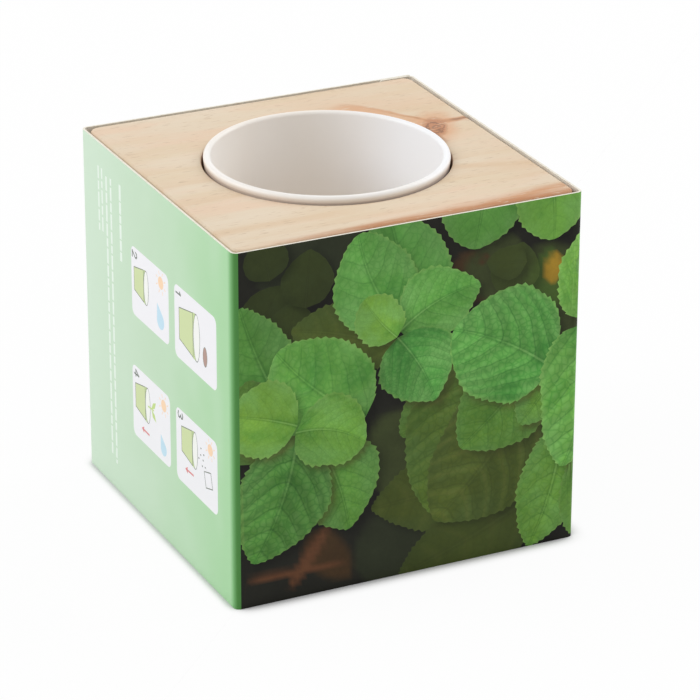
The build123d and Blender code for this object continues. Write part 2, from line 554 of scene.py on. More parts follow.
@dataclass(frozen=True)
class LeafPictureFinish:
    """Satin print of foliage: crisp toothed leaves with sunken veins over a dark blurred ground."""

    cool_leaf: Colour = ink("56a04c")
    warm_leaf: Colour = ink("8fae36")
    pale: Colour = ink("7fb566")
    deep: Colour = ink("2f7a30")
    shade: Colour = ink("1f5322")
    rib: Colour = ink("9cc47c")
    margin: Colour = ink("a3c86c")
    olive: Colour = ink("7a7a40")
    olive_ridge: Colour = ink("a3a257")
    vein_pairs: float = 5.6
    net_cells: float = 19.0
    rib_width: float = 0.016
    rib_taper: float = 0.011

    def build(self) -> bpy.types.Material:
        """Writes the nodes and returns the material."""
        card = Recipe.material("leaf_picture")
        uv = card.node("ShaderNodeUVMap", {"uv_map": PrintData.PLACE.value})
        along, across, _ = card.parts(uv)
        tone, crisp = card.attribute(PrintData.TONE.value)
        warmth, light, edge = card.parts(tone)
        form, relief = card.attribute(PrintData.FORM.value)
        tilt, number, droop = card.parts(form)
        ground, _ = card.attribute(PrintData.GROUND.value)

        # Side veins, which bend towards the tip, the fine net between them, and the midrib.
        own = card.joined(along, across, number * 40.0)
        wobble = card.noise(own, 3.6, 2.0) - 0.5
        out = abs(across)
        phase = (along - out * 0.42 - out * out * 2.0 + wobble * 0.11) * self.vein_pairs
        ridge = abs(card.maths("FRACT", phase) - 0.5) * 2.0
        vein = card.rise(ridge, 0.84, 0.995) * card.rise(edge, 1.1, 0.55)
        slope = card.maths("SINE", phase * (2 * math.pi))
        net_at = card.vectors("ADD", own, card.scaled(card.joined(wobble, wobble * -1.0), 0.12))
        net = card.rise(card.cells(net_at, self.net_cells, "DISTANCE_TO_EDGE"), 0.16, 0.02)
        dome = card.rise(card.cells(net_at, self.net_cells, "F1"), 0.55, 0.1)
        cell_tint, _, _ = card.parts(card.cells(net_at, self.net_cells, "F1", "Color"))
        from_rib = out / (self.rib_width - along * self.rib_taper)
        rib = card.rise(from_rib, 0.9, 0.35)
        groove = card.rise(from_rib, 3.2, 1.0) - rib

        cloud = card.noise(own, 2.4, 3.0)
        dusk = card.rise(light, 0.62, 0.30)
        ridge_light = card.rise(slope, 0.35, 1.0) * card.rise(ridge, 0.9, 0.3)
        ridge_light = ridge_light * (cell_tint * 0.7 + 0.3)
        leaf = card.coated(
            card.over(warmth, self.cool_leaf, self.warm_leaf),
            (card.rise(cloud + edge * 0.22, 0.50, 0.85) * 0.55, self.pale),
            (card.rise(cloud + along * 0.25, 0.62, 0.35) * 0.50, self.deep),
            (dome * relief * 0.22, self.pale),
            (cell_tint * relief * 0.19, self.pale),
            (net * relief * 0.25, self.deep),
            (vein * relief * 0.28, self.shade),
            (groove * 0.27, self.shade),
            (rib * card.rise(along, 0.8, 0.1) * 0.26, self.rib),
            (card.rise(edge, 0.93, 1.04) * 0.26, self.margin),
            (dusk * 0.60, self.olive),
            (ridge_light * dusk * relief * 0.24, self.olive_ridge),
        )
        # The light falls off across each leaf, along it, between its veins and over the picture.
        side = card.rise(across, -0.05, 0.05) * 2.0 - 1.0
        halves = side * (tilt - 0.5) * (1.15 - edge * 0.8) * 0.55 + 1.04 - edge * edge * 0.13
        drooping = (along - 0.5) * (droop - 0.5) * 0.9 + 1.0
        quilted = slope * relief * relief * 0.08 + 1.0
        dapple = card.noise(card.at, 0.075, 1.0) * 0.5 + 0.75
        leaf = card.scaled(leaf, light * 1.10 * quilted * halves * drooping * dapple)

        far = card.scaled(ground, card.noise(card.at, 0.22, 3.0) * 0.5 + 0.75)
        grain = card.noise(card.at, 4.0, 3.0)
        mottle = card.noise(card.at, 1.1, 3.0)
        uneven = (grain - 0.5) * 0.16 + (mottle - 0.5) * 0.22 + 1.0
        return card.satin_print(card.scaled(card.over(crisp, far, leaf), uneven), grain, 0.14)


@dataclass(frozen=True)
class InstructionFinish:
    """Satin print of the instruction panel: a pale tint that deepens to a green band."""

    far_tint: Colour = ink("cfe4cf")
    mid_tint: Colour = ink("c3ddc1")
    near_tint: Colour = ink("aad6a6")
    near_band: Colour = ink("84bc80")
    band: Colour = ink("4f8b44")
    panel_length: float = 76.0

    def build(self) -> bpy.types.Material:
        """Writes the nodes and returns the material."""
        card = Recipe.material("instruction_print")
        uv = card.node("ShaderNodeUVMap", {"uv_map": PrintData.PLACE.value})
        along, _, _ = card.parts(uv)
        share = along / (self.panel_length / PANEL_UV)
        stops = (
            (0.0, self.far_tint),
            (0.45, self.mid_tint),
            (0.91, self.near_tint),
            (0.950, self.near_tint),
            (0.965, self.near_band),
            (0.981, self.band),
            (1.0, self.band),
        )
        tint = card.node("ShaderNodeValToRGB", {"stops": stops}, {0: share})
        cloud = card.rise(card.noise(card.at, 0.05, 2.0), 0.4, 0.7) * card.rise(share, 0.94, 0.88)
        printed, inked = card.attribute(PrintData.INK.value)
        grain = card.noise(card.at, 4.0, 3.0)
        colour = card.coated(
            tint,
            (cloud * 0.25, self.far_tint),
            (inked, printed),
            ((grain - 0.5) * 0.10, self.near_tint),
        )
        return card.satin_print(colour, grain, 0.2)


@dataclass(frozen=True)
class BoardLook:
    """What sets one bare surface of the card apart."""

    name: str
    base: Colour
    fibre: Colour
    fibre_size: Triple


class BoardSide(Enum):
    """The two unprinted surfaces of the card."""

    INSIDE = BoardLook("raw_board", ink("e2ddd2"), ink("c6bdac"), (1.4, 1.4, 0.5))
    CUT = BoardLook("cut_board_edge", ink("f1ecdf"), ink("d9cfbb"), (0.9, 0.9, 0.06))


@dataclass(frozen=True)
class BoardFinish:
    """Bare board: its fibrous inside or its pale cut edge."""

    side: BoardSide

    def build(self) -> bpy.types.Material:
        """Writes the nodes and returns the material."""
        look = self.side.value
        board = Recipe.material(look.name)
        fibre = board.streaks(look.fibre_size, 4.0)
        speck = board.rise(board.noise(board.at, 2.2, 2.0), 0.62, 0.72)
        colour = board.coated(
            look.base, (board.rise(fibre, 0.4, 0.75) * 0.6, look.fibre), (speck * 0.35, look.fibre)
        )
        return board.surface(colour, fibre * 0.1 + 0.82, board.bump(fibre, 0.03, 0.6))


@dataclass(frozen=True)
class LinerFinish:
    """White moulded plastic, satin, with faint flow marks, painted shade low in the pot and towards +Y,
    a painted highlight towards +X, and a painted wood reflection and contact shadow round the lip.
    """

    white: Colour = ink("faf7f3")
    shade: Colour = ink("f4eee6")
    warm: Colour = ink("c8aa88")
    painted_shade_tint: Colour = ink("f5e7d6")
    painted_highlight_white: Colour = ink("fbfcff")
    line: Colour = ink("8f6a4e")
    seat: float = BLOCK.top
    lip_outside: float = POT.width / 2 - 0.2

    def build(self) -> bpy.types.Material:
        """Writes the nodes and returns the material."""
        plastic = Recipe.material("white_liner")
        x, y, z = plastic.axes
        flow = plastic.streaks((14.0, 14.0, 30.0))
        fine = plastic.noise(plastic.at, 2.4, 3.0)
        # Painted warm reflection of the wood on the lip's outer face, and a painted contact shadow just
        # above where it meets the wood.
        outside = plastic.rise(plastic.distance(x, y), self.lip_outside - 0.15, self.lip_outside)
        outside = outside * plastic.rise(z, self.seat - 1.6, self.seat - 0.3)
        painted_wood_reflection = outside * plastic.rise(z, self.seat + 1.2, self.seat + 0.1)
        painted_seat_shadow = outside * plastic.rise(z, self.seat + 0.30, self.seat + 0.12)
        colour = plastic.coated(
            self.white,
            (plastic.rise(flow, 0.35, 0.75) * 0.5, self.shade),
            # Painted shade, darker and warmer low in the pot.
            (plastic.rise(z, 72.0, 40.0) * 0.45, self.painted_shade_tint),
            # Painted highlight on the upper wall towards +X.
            (plastic.rise(x, 4.0, 20.0) * plastic.rise(z, 50.0, 68.0), self.painted_highlight_white),
            # Painted shade on the wall towards +Y.
            (plastic.rise(y, 6.0, 22.0) * 0.35, self.painted_shade_tint),
            # Painted reflection of the wood.
            (painted_wood_reflection * 0.45, self.warm),
            # Painted contact shadow.
            (painted_seat_shadow * 0.2, self.line),
        )
        relief = plastic.bump(fine * 0.5 + flow * 0.5, 0.02, 0.4)
        return plastic.surface(
            colour, fine * 0.08 + 0.33, relief, IOR=1.49, Coat_Weight=0.15, Coat_Roughness=0.3
        )


@dataclass(frozen=True)
class SoilFinish:
    """Pressed plant fibre: dark crumbs, brown pith and pale threads."""

    crumb: Colour = ink("4a3120")
    pith: Colour = ink("6d4a30")
    thread: Colour = ink("a07a52")
    pit: Colour = ink("22150d")

    def build(self) -> bpy.types.Material:
        """Writes the nodes and returns the material."""
        soil = Recipe.material("pressed_fibre")
        crumbs = soil.cells(soil.at, 1.3, "F1")
        blot = soil.noise(soil.at, 0.9, 4.0, 0.6)
        warped = soil.vectors("ADD", soil.at, soil.scaled(soil.joined(blot, blot), 2.5))
        along_x = soil.streaks((3.4, 0.22, 0.6), at=warped)
        along_y = soil.streaks((0.22, 3.4, 0.6), at=warped)
        threads = soil.rise(soil.maths("MAXIMUM", along_x, along_y), 0.66, 0.74)
        colour = soil.coated(
            self.crumb,
            (soil.rise(blot, 0.35, 0.65), self.pith),
            (soil.rise(crumbs, 0.55, 0.85) * 0.7, self.pit),
            (threads * 0.8, self.thread),
        )
        relief = soil.bump(threads * 0.5 + blot * 0.6 - crumbs * 0.5, 0.5, 0.9)
        return soil.surface(colour, 0.95 - threads * 0.12, relief, Specular_IOR_Level=0.25)


@dataclass(frozen=True)
class PaperFinish:
    """Uncoated brown paper with a fine machine direction, crushed paler along its creases."""

    paper: Colour = ink("c29f73")
    deep: Colour = ink("a8845a")
    worn: Colour = ink("d8bd96")

    def build(self) -> bpy.types.Material:
        """Writes the nodes and returns the material."""
        paper = Recipe.material("brown_paper")
        ribs = paper.streaks((7.0, 0.16, 0.4), 3.0)
        blot = paper.noise(paper.at, 0.5, 4.0, 0.6)
        shifted = paper.vectors("ADD", paper.at, (3.0, 9.0, 0.0))
        crease = paper.rise(paper.cells(shifted, 0.34, "DISTANCE_TO_EDGE"), 0.05, 0.0)
        colour = paper.coated(
            self.paper,
            (paper.rise(blot, 0.35, 0.7) * 0.5, self.deep),
            (paper.rise(ribs, 0.45, 0.7) * 0.25, self.deep),
            (crease * 0.45, self.worn),
        )
        relief = paper.bump(ribs * 0.35 + blot * 0.4 + crease * 0.4, 0.08, 0.8)
        return paper.surface(colour, blot * 0.12 + 0.74, relief)


@dataclass(frozen=True)
class SeedFinish:
    """Dark seed coat, dull and finely pitted, each seed a little different."""

    coat: Colour = ink("3b2a1f")
    light_coat: Colour = ink("6a4c35")
    pit: Colour = ink("1c130e")

    def build(self) -> bpy.types.Material:
        """Writes the nodes and returns the material."""
        seed = Recipe.material("seed_coat")
        tone = seed.noise(seed.at, 0.5, 1.0)
        pits = seed.cells(seed.at, 9.0, "F1")
        colour = seed.coated(
            self.coat,
            (seed.rise(tone, 0.35, 0.65), self.light_coat),
            (seed.rise(pits, 0.35, 0.1) * 0.6, self.pit),
        )
        return seed.surface(colour, pits * 0.2 + 0.5, seed.bump(pits, 0.03, 0.7))


# The workbench: operators that every piece shares


class Bench:
    """The modelling operators, each acting on a selection made by place or by normal."""

    @staticmethod
    def clear() -> None:
        """Leaves edit mode and deselects everything."""
        if bpy.context.object and bpy.context.object.mode != "OBJECT":
            bpy.ops.object.mode_set(mode="OBJECT")
        bpy.ops.object.select_all(action="DESELECT")

    @classmethod
    def select(cls, *pieces: bpy.types.Object) -> None:
        """Selects these pieces alone and makes the first of them active."""
        cls.clear()
        for piece in pieces:
            piece.select_set(True)
        bpy.context.view_layer.objects.active = pieces[0]

    @classmethod
    def begin(cls, name: str, add: Callable[..., Any], **settings: Any) -> bpy.types.Object:
        """Adds a primitive at its size and place and opens it for shaping.

        Args:
            name: The piece's name.
            add: The operator that adds the primitive.
            settings: Its size and place.

        Returns:
            The new object, active and in edit mode, with nothing selected.
        """
        cls.clear()
        add(**settings)
        piece = bpy.context.object
        piece.name = name
        piece.data.name = name
        bpy.ops.object.transform_apply(location=True, rotation=True, scale=True)
        bpy.ops.object.mode_set(mode="EDIT")
        bpy.ops.mesh.select_all(action="DESELECT")
        return piece

    @staticmethod
    def pick(kind: str, rule: Callable[[Any], bool]) -> int:
        """Selects what a rule picks in the mesh that is open, and nothing else.

        Args:
            kind: verts, edges or faces.
            rule: Says whether an element is picked.

        Returns:
            How many were picked.
        """
        mode = {"verts": "VERT", "edges": "EDGE", "faces": "FACE"}[kind]
        bpy.ops.mesh.select_mode(type=mode)
        bpy.ops.mesh.select_all(action="DESELECT")
        shape = bmesh.from_edit_mesh(bpy.context.object.data)
        shape.normal_update()
        chosen = [element for element in getattr(shape, kind) if rule(element)]
        for element in chosen:
            element.select_set(True)
        shape.select_flush_mode()
        bmesh.update_edit_mesh(bpy.context.object.data)
        return len(chosen)

    @staticmethod
    def done(smooth_below: float = 35.0) -> bpy.types.Object:
        """Closes the mesh, and shades it smooth over edges flatter than this many degrees."""
        bpy.ops.object.mode_set(mode="OBJECT")
        bpy.ops.object.shade_smooth_by_angle(angle=math.radians(smooth_below))
        return bpy.context.object

    @classmethod
    def turned(
        cls, name: str, section: Sequence[Point], steps: int, smooth_below: float = 35.0
    ) -> bpy.types.Object:
        """Draws a half section point by point and spins it about the upright axis.

        Args:
            name: The piece's name.
            section: Radius and height of each point in millimetres, from axis to axis.
            steps: How many facets go round.
            smooth_below: The angle below which edges are shaded smooth.

        Returns:
            The turned piece.
        """
        first = section[0]
        piece = cls.begin(
            name,
            bpy.ops.mesh.primitive_plane_add,
            size=MM,
            location=(first[0] * MM, 0, first[1] * MM),
        )
        bpy.ops.mesh.select_mode(type="VERT")
        bpy.ops.mesh.select_all(action="SELECT")
        bpy.ops.mesh.merge(type="CENTER")
        for before, after in zip(section, section[1:]):
            step = ((after[0] - before[0]) * MM, 0, (after[1] - before[1]) * MM)
            bpy.ops.mesh.extrude_region_move(TRANSFORM_OT_translate={"value": step})
        bpy.ops.mesh.select_all(action="SELECT")
        bpy.ops.mesh.spin(steps=steps, angle=2 * math.pi, center=(0, 0, 0), axis=(0, 0, 1))
        bpy.ops.mesh.select_all(action="SELECT")
        bpy.ops.mesh.remove_doubles(threshold=1e-6)
        bpy.ops.mesh.normals_make_consistent(inside=False)
        cls.done(smooth_below)
        return piece

    @staticmethod
    def apply(piece: bpy.types.Object, kind: str, **settings: Any) -> None:
        """Adds a modifier with these settings and applies it."""
        modifier = piece.modifiers.new(kind.lower(), kind)
        for name, value in settings.items():
            setattr(modifier, name, value)
        bpy.context.view_layer.objects.active = piece
        bpy.ops.object.modifier_apply(modifier=modifier.name)

    @staticmethod
    def dress(piece: bpy.types.Object, *materials: bpy.types.Material) -> None:
        """Gives a piece its materials in order."""
        piece.data.materials.clear()
        for material in materials:
            piece.data.materials.append(material)

    @staticmethod
    def enlist(piece: bpy.types.Object, body: str, slot: str, *nodes: str) -> None:
        """Sets a piece on its body and hides the nodes that it stands for.

        Args:
            piece: The finished piece.
            body: The body that it rides on.
            slot: Not used.
            nodes: The nodes that it replaces.
        """
        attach(piece, body)
        if nodes:
            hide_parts(*nodes)
        faces = len(piece.data.polygons)
        LOG.info("%s: %d faces on %s", piece.name, faces, body)


def arc(centre: Point, radius: float, start: float, end: float, steps: int) -> list[Point]:
    """Points on an arc, both ends included.

    Args:
        centre: The arc's centre.
        radius: Its radius.
        start: The first angle in degrees.
        end: The last angle in degrees.
        steps: How many chords it has.

    Returns:
        The points.
    """
    turns = [math.radians(start + (end - start) * step / steps) for step in range(steps + 1)]
    return [(centre[0] + radius * math.cos(t), centre[1] + radius * math.sin(t)) for t in turns]


# The block


@dataclass
class PineBlock:
    """The cube of pine, eased on every edge and bored from above."""

    side: float = BLOCK.width
    height: float = BLOCK.height
    corner_radius: float = 2.2
    edge_ease: float = 0.6
    bore_radius: float = 25.0
    bore_depth: float = BLOCK.top - POT.bottom
    mouth_ease: float = 0.4
    point_radius: float = 2.5
    point_depth: float = 2.0
    bit_overrun: float = 5.0
    near: float = 0.01
    near_bore: float = 0.1
    beyond_bore: float = 3.0
    bore_facets: int = 128

    def build(self, finish: PineFinish) -> bpy.types.Object:
        """Shapes, dresses and enlists the block.

        Args:
            finish: The wood.

        Returns:
            The block.
        """
        block = Bench.begin(
            "pine_block",
            bpy.ops.mesh.primitive_cube_add,
            size=1.0,
            location=(0, 0, self.height / 2 * MM),
            scale=(self.side * MM, self.side * MM, self.height * MM),
        )
        half = self.height / 2 * MM
        Bench.pick("edges", lambda e: abs(e.verts[0].co.z - e.verts[1].co.z) > half)
        bpy.ops.mesh.bevel(offset=self.corner_radius * MM, segments=8, affect="EDGES")
        cutter = self._bit()
        Bench.select(block)
        Bench.apply(block, "BOOLEAN", operation="DIFFERENCE", object=cutter, solver="EXACT")
        bpy.data.objects.remove(cutter)
        bpy.ops.object.mode_set(mode="EDIT")
        self._ease(self.edge_ease, self._is_outer_rim)
        self._ease(self.mouth_ease, self._is_mouth)
        Bench.done(40.0)
        Bench.dress(block, finish.build())
        Bench.enlist(block, "block", "pine", "wood_block")
        return block

    def _bit(self) -> bpy.types.Object:
        """The shape that the bit clears: a cylinder with a small point below it."""
        floor = self.height - self.bore_depth
        length = self.bore_depth + self.bit_overrun
        bit = Bench.begin(
            "bit",
            bpy.ops.mesh.primitive_cylinder_add,
            vertices=self.bore_facets,
            radius=self.bore_radius * MM,
            depth=length * MM,
            location=(0, 0, (floor + length / 2) * MM),
        )
        Bench.pick("faces", lambda f: f.normal.z < -0.9)
        bpy.ops.mesh.inset(thickness=(self.bore_radius - self.point_radius) * MM)
        down = {"value": (0, 0, -self.point_depth * MM)}
        bpy.ops.mesh.extrude_region_move(TRANSFORM_OT_translate=down)
        bpy.ops.mesh.merge(type="CENTER")
        bpy.ops.object.mode_set(mode="OBJECT")
        return bit

    def _ease(self, ease: float, rule: Callable[[Any], bool]) -> None:
        """Rounds the edges that a rule picks."""
        count = Bench.pick("edges", rule)
        LOG.info("eased %d edges by %.1f mm", count, ease)
        bpy.ops.mesh.bevel(offset=ease * MM, segments=4, affect="EDGES")

    def _is_outer_rim(self, edge: Any) -> bool:
        """Whether an edge lies round the top or the underside."""
        level = [v.co.z / MM for v in edge.verts]
        beyond = (self.bore_radius + self.beyond_bore) * MM
        flat = any(all(abs(z - rim) < self.near for z in level) for rim in (0.0, self.height))
        outer = all(v.co.xy.length > beyond for v in edge.verts)
        return flat and outer and edge.calc_face_angle(0.0) > 1.0

    def _is_mouth(self, edge: Any) -> bool:
        """Whether an edge lies round the mouth of the bore."""
        return all(
            abs(v.co.z / MM - self.height) < self.near
            and abs(v.co.xy.length / MM - self.bore_radius) < self.near_bore
            for v in edge.verts
        )


# The printed sleeve


class PrintData(Enum):
    """The attributes that carry the print on the card."""

    PLACE = "print_place"
    TONE = "leaf_tone"
    FORM = "leaf_form"
    GROUND = "far_ground"
    INK = "print_ink"


class Area(IntEnum):
    """What an area of the strip's outer face shows."""

    BARE = 0
    BACK = 1
    PANEL = 2
    PICTURE = 3


class Slot(IntEnum):
    """The places of the sleeve's materials."""

    PICTURE = 0
    PANEL = 1
    BOARD = 2
    EDGE = 3


AREA_SLOTS = (Slot.BOARD, Slot.PICTURE, Slot.PANEL, Slot.PICTURE)
# The ripples in a leaf's edge: the height and number of each, and its share of the phase
RIPPLES = ((0.035, 6.5, 1), (0.02, 15, 2))


@dataclass(frozen=True)
class Leaf:
    """One leaf of the picture, in millimetres of the flat strip.

    The light is 1 for a leaf in full light, warmth runs from blue-green to yellow-green, tilt
    says which half of the leaf faces the light, and droop which end of it. Relief is how deep
    its veins are, haze how far it is out of focus, and blunt how round its tip is.
    """

    base: Point
    heading: float
    length: float
    breadth: float = 0.40
    curve: float = 0.0
    light: float = 0.85
    warmth: float = 0.25
    tilt: float = 0.0
    relief: float = 0.8
    droop: float = 0.0
    haze: float = 0.0
    blunt: float = 0.22
    tooth: float = 0.45
    tooth_pitch: float = 1.3
    shoulder: float = 0.56

    def half_width(self, along: np.ndarray) -> np.ndarray:
        """The smooth half width, as a share of the length, along the leaf."""
        t = np.clip(along, 0.0, 1.0)
        low, high = self.shoulder, 1.0 - self.blunt
        peak = low / (low + high)
        widest = peak**low * (1 - peak) ** high
        ripple = 1.0
        for height, waves, share in RIPPLES:
            ripple = ripple + height * np.sin(waves * t + share * self._phase())
        return self.breadth * ripple * t**low * (1 - t) ** high / widest

    def _phase(self) -> float:
        """A number of its own for each leaf, which sets its ripples and teeth."""
        return self.base[0] * 1.7 + self.base[1] * 0.9 + self.heading

    def _axes(self) -> tuple[np.ndarray, np.ndarray]:
        """The directions along and across the leaf."""
        turn = math.radians(self.heading)
        along = np.array([math.cos(turn), math.sin(turn)])
        return along, np.array([-along[1], along[0]])

    def _bow(self, along: np.ndarray) -> np.ndarray:
        """How far the midrib bows aside, as a share of the length, along the leaf."""
        return self.curve * 4 * along * (1 - along)

    def on_leaf(self, points: np.ndarray) -> tuple[np.ndarray, np.ndarray]:
        """Turns strip points into places along and across the leaf.

        Args:
            points: Strip points, in the last axis.

        Returns:
            The shares of the leaf's length along it and across it from the midrib.
        """
        forward, aside = self._axes()
        offset = points - np.array(self.base)
        along = offset @ forward / self.length
        return along, offset @ aside / self.length - self._bow(np.clip(along, 0, 1))

    def outside(self, points: np.ndarray) -> np.ndarray:
        """About how far strip points lie outside the leaf, negative inside, in millimetres."""
        along, across = self.on_leaf(points)
        beside = np.abs(across) - self.half_width(along)
        beyond = np.maximum(-along, along - 1.0)
        return np.maximum(beside, beyond) * self.length

    def outline(self) -> np.ndarray:
        """The toothed outline as strip points, counter-clockwise."""
        right, left = self._side(0.0), self._side(1.9)
        ring = [(0.0, 0.0)] + [(a, -w) for a, w in right] + [(1.0, 0.0)]
        ring += [(a, w) for a, w in reversed(left)]
        places = np.array(ring)
        forward, aside = self._axes()
        across = places[:, 1] + self._bow(places[:, 0])
        return np.array(self.base) + self.length * (
            places[:, :1] * forward[None, :] + across[:, None] * aside[None, :]
        )

    def _side(self, shift: float) -> list[Point]:
        """The teeth of one side, as shares of the length along and across the leaf."""
        count = max(7, round(self.length / self.tooth_pitch))
        side: list[Point] = []
        for number in range(1, count):
            uneven = abs(math.sin(number * 2.4 + self._phase() + shift))
            share = self.tooth / self.length * (0.55 + 0.75 * uneven)
            root = self._spread((number + 0.2 * uneven) / count)
            tip = self._spread((number + 0.70 + 0.15 * uneven) / count)
            side.append((root, float(self.half_width(np.array(root)))))
            side.append((tip, float(self.half_width(np.array(tip))) + share))
        return side

    @staticmethod
    def _spread(share: float) -> float:
        """Evens the teeth out towards the leaf's ends."""
        return 0.45 * share + 0.55 * (1 - math.cos(math.pi * share)) / 2

    def moved(self, along: float) -> "Leaf":
        """The same leaf further along the strip."""
        return replace(self, base=(self.base[0] + along, self.base[1]))


@dataclass(frozen=True)
class Blot:
    """A leaf or twig that is out of focus: its colour fades over its blurred edge."""

    shape: Leaf
    colour: Colour
    blur: float


@dataclass(frozen=True)
class Patch:
    """A flat printed shape in one ink."""

    outline: np.ndarray
    colour: Colour


class Pictograms:
    """Draws the numbered cards of the instruction panel as flat patches.

    Places are millimetres from the panel's back edge and from the table. The cards are read
    with the head turned, so a numeral's up is towards the picture panel.
    """

    WHITE = ink("f1f0f4")
    LINE = ink("6d766c")
    POT = ink("cfdca8")
    POT_RIM = ink("c3d69a")
    MOUTH = ink("f3f4f0")
    PELLET = ink("b3948a")
    SUN = ink("f8d6b4")
    DROP = ink("c3e0f0")
    RED = ink("dd8a8a")
    SHOOT = ink("c3da8a")
    RULE = ink("e6f2e7")

    FINE_LINE = 0.17
    NUMERAL_LINE = 0.36
    NUMERAL_SCALE = 1.15
    DIGITS: dict[str, tuple[Point, ...]] = {
        "1": ((0.25, 1.55), (0.70, 2.0), (0.70, 0.0)),
        "2": ((0.1, 1.5), (0.3, 1.9), (0.8, 2.0), (1.15, 1.6), (1.05, 1.2), (0.1, 0.0), (1.25, 0.0)),
        "3": (
            (0.1, 1.75), (0.5, 2.0), (1.0, 1.85), (1.1, 1.45), (0.6, 1.08),
            (1.15, 0.75), (1.1, 0.25), (0.6, 0.0), (0.1, 0.2),
        ),
        "4": ((0.9, 0.0), (0.9, 2.0), (0.05, 0.65), (1.3, 0.65)),
    }
    # Each rule of dashes: its column, where it starts and ends, and its width
    RULES = (
        (8.6, 69.6, 56.0, 0.7),
        (10.4, 69.6, 56.4, 0.7),
        (12.7, 68.6, 7.0, 0.8),
        (15.0, 68.9, 6.2, 0.8),
        (19.8, 69.2, 53.4, 1.0),
    )
    CARDS = (
        ((25.1, 43.9), (43.8, 58.8)),
        ((46.7, 43.4), (66.8, 58.8)),
        ((24.5, 17.0), (43.6, 32.7)),
        ((46.6, 16.7), (66.6, 32.4)),
    )

    def __init__(self) -> None:
        """Starts with no patches."""
        self.patches: list[Patch] = []

    def _lay(self, outline: Sequence[Point] | np.ndarray, colour: Colour) -> None:
        """Lays one patch over those before it."""
        self.patches.append(Patch(np.asarray(outline, float), colour))

    def _disc(self, centre: Point, reach: Point, colour: Colour, steps: int = 20) -> None:
        """Lays an ellipse with these half sizes."""
        turns = [2 * math.pi * step / steps for step in range(steps)]
        self._lay(
            [(centre[0] + reach[0] * math.cos(t), centre[1] + reach[1] * math.sin(t)) for t in turns],
            colour,
        )

    def _stroke(self, points: Sequence[Point], width: float, colour: Colour) -> None:
        """Lays a line of this width along some points."""
        for start, end in zip(points, points[1:]):
            first, last = np.array(start), np.array(end)
            run = last - first
            run = run / np.linalg.norm(run)
            aside = np.array([-run[1], run[0]]) * width / 2
            first, last = first - run * width * 0.35, last + run * width * 0.35
            self._lay([first - aside, last - aside, last + aside, first + aside], colour)

    def _dashes(self, column: float, start: float, end: float, width: float) -> None:
        """Lays a rule of uneven dashes, which stands for a line of type.

        Args:
            column: Where it lies, from the panel's back edge.
            start: How high it starts.
            end: How high it ends.
            width: How wide it is.
        """
        place = start
        dash = 0
        while place > end:
            length = 0.9 + 2.3 * ((dash * GOLDEN_SHARE + column) % 1.0)
            self._stroke(((column, place), (column, max(place - length, end))), width, self.RULE)
            place -= length + 1.0
            dash += 1

    def _card(self, low: Point, high: Point, corner: float = 1.5) -> None:
        """Lays one white card with round corners."""
        outline: list[Point] = []
        spots = (
            ((high[0] - corner, low[1] + corner), -90),
            ((high[0] - corner, high[1] - corner), 0),
            ((low[0] + corner, high[1] - corner), 90),
            ((low[0] + corner, low[1] + corner), 180),
        )
        for centre, start in spots:
            outline += arc(centre, corner, start, start + 90, 6)
        self._lay(outline, self.WHITE)

    def _numeral(self, digit: str, corner: Point) -> None:
        """Writes a plain numeral with its lower left at a corner."""
        scale = self.NUMERAL_SCALE
        points = [(corner[0] + y * scale, corner[1] - x * scale) for x, y in self.DIGITS[digit]]
        self._stroke(points, self.NUMERAL_LINE, self.LINE)

    def _pot(self, foot: Point, tall: float, rim: float) -> None:
        """Draws a tapered pot from the middle of its foot, its mouth towards +h."""
        h, z = foot
        line = self.FINE_LINE
        base, neck, mouth = rim * 0.66, rim * 0.94, rim * 0.30
        brim = h + tall - tall * 0.22
        lip = h + tall
        half = [(h - line, base + line), (brim, neck + line), (lip, rim + line)]
        outer = [(a, z - b) for a, b in half] + [(a, z + b) for a, b in reversed(half)]
        self._lay(outer, self.LINE)
        self._lay([(h, z - base), (brim, z - neck), (brim, z + neck), (h, z + base)], self.POT)
        band = [(brim + line, z - rim), (lip, z - rim), (lip, z + rim), (brim + line, z + rim)]
        self._lay(band, self.POT_RIM)
        self._disc((lip, z), (mouth + line, rim + line), self.LINE, 26)
        self._disc((lip, z), (mouth, rim), self.MOUTH, 26)

    def _sun(self, centre: Point, radius: float) -> None:
        """Draws a plain disc with short rays."""
        for ray in range(8):
            turn = math.radians(45 * ray + 22)
            way = (math.cos(turn), math.sin(turn))
            near = (centre[0] + way[0] * radius * 1.35, centre[1] + way[1] * radius * 1.35)
            far = (centre[0] + way[0] * radius * 1.8, centre[1] + way[1] * radius * 1.8)
            self._stroke((near, far), 0.22, self.SUN)
        self._disc(centre, (radius, radius), self.SUN)

    def _drop(self, centre: Point, size: float) -> None:
        """Draws a drop of water whose tip leans back and up the panel."""
        outline = arc(centre, size, 170, 405, 16)
        outline.append((centre[0] - size * 0.9, centre[1] + size * 1.9))
        self._lay(outline, self.DROP)

    def _pointer(self, tip: Point, tail: Point) -> None:
        """Draws a small arrow."""
        end, start = np.array(tip), np.array(tail)
        way = (end - start) / np.linalg.norm(end - start)
        aside = np.array([-way[1], way[0]])
        self._stroke((tuple(start), tuple(end - way * 0.9)), 0.42, self.RED)
        self._lay([end - way * 1.2 - aside * 0.75, end, end - way * 1.2 + aside * 0.75], self.RED)

    def draw(self) -> list[Patch]:
        """Draws the whole panel and returns its patches in the order that they are laid."""
        for rule in self.RULES:
            self._dashes(*rule)
        for low, high in self.CARDS:
            self._card(low, high)
        self._draw_watering()
        self._draw_pellet()
        self._draw_shoot()
        self._draw_sowing()
        return self.patches

    def _draw_watering(self) -> None:
        """The second card: a pot, sun and water."""
        self._numeral("2", (25.7, 57.9))
        self._pot((26.5, 52.0), 6.0, 3.6)
        self._sun((40.0, 56.0), 1.35)
        self._drop((39.6, 47.7), 1.8)

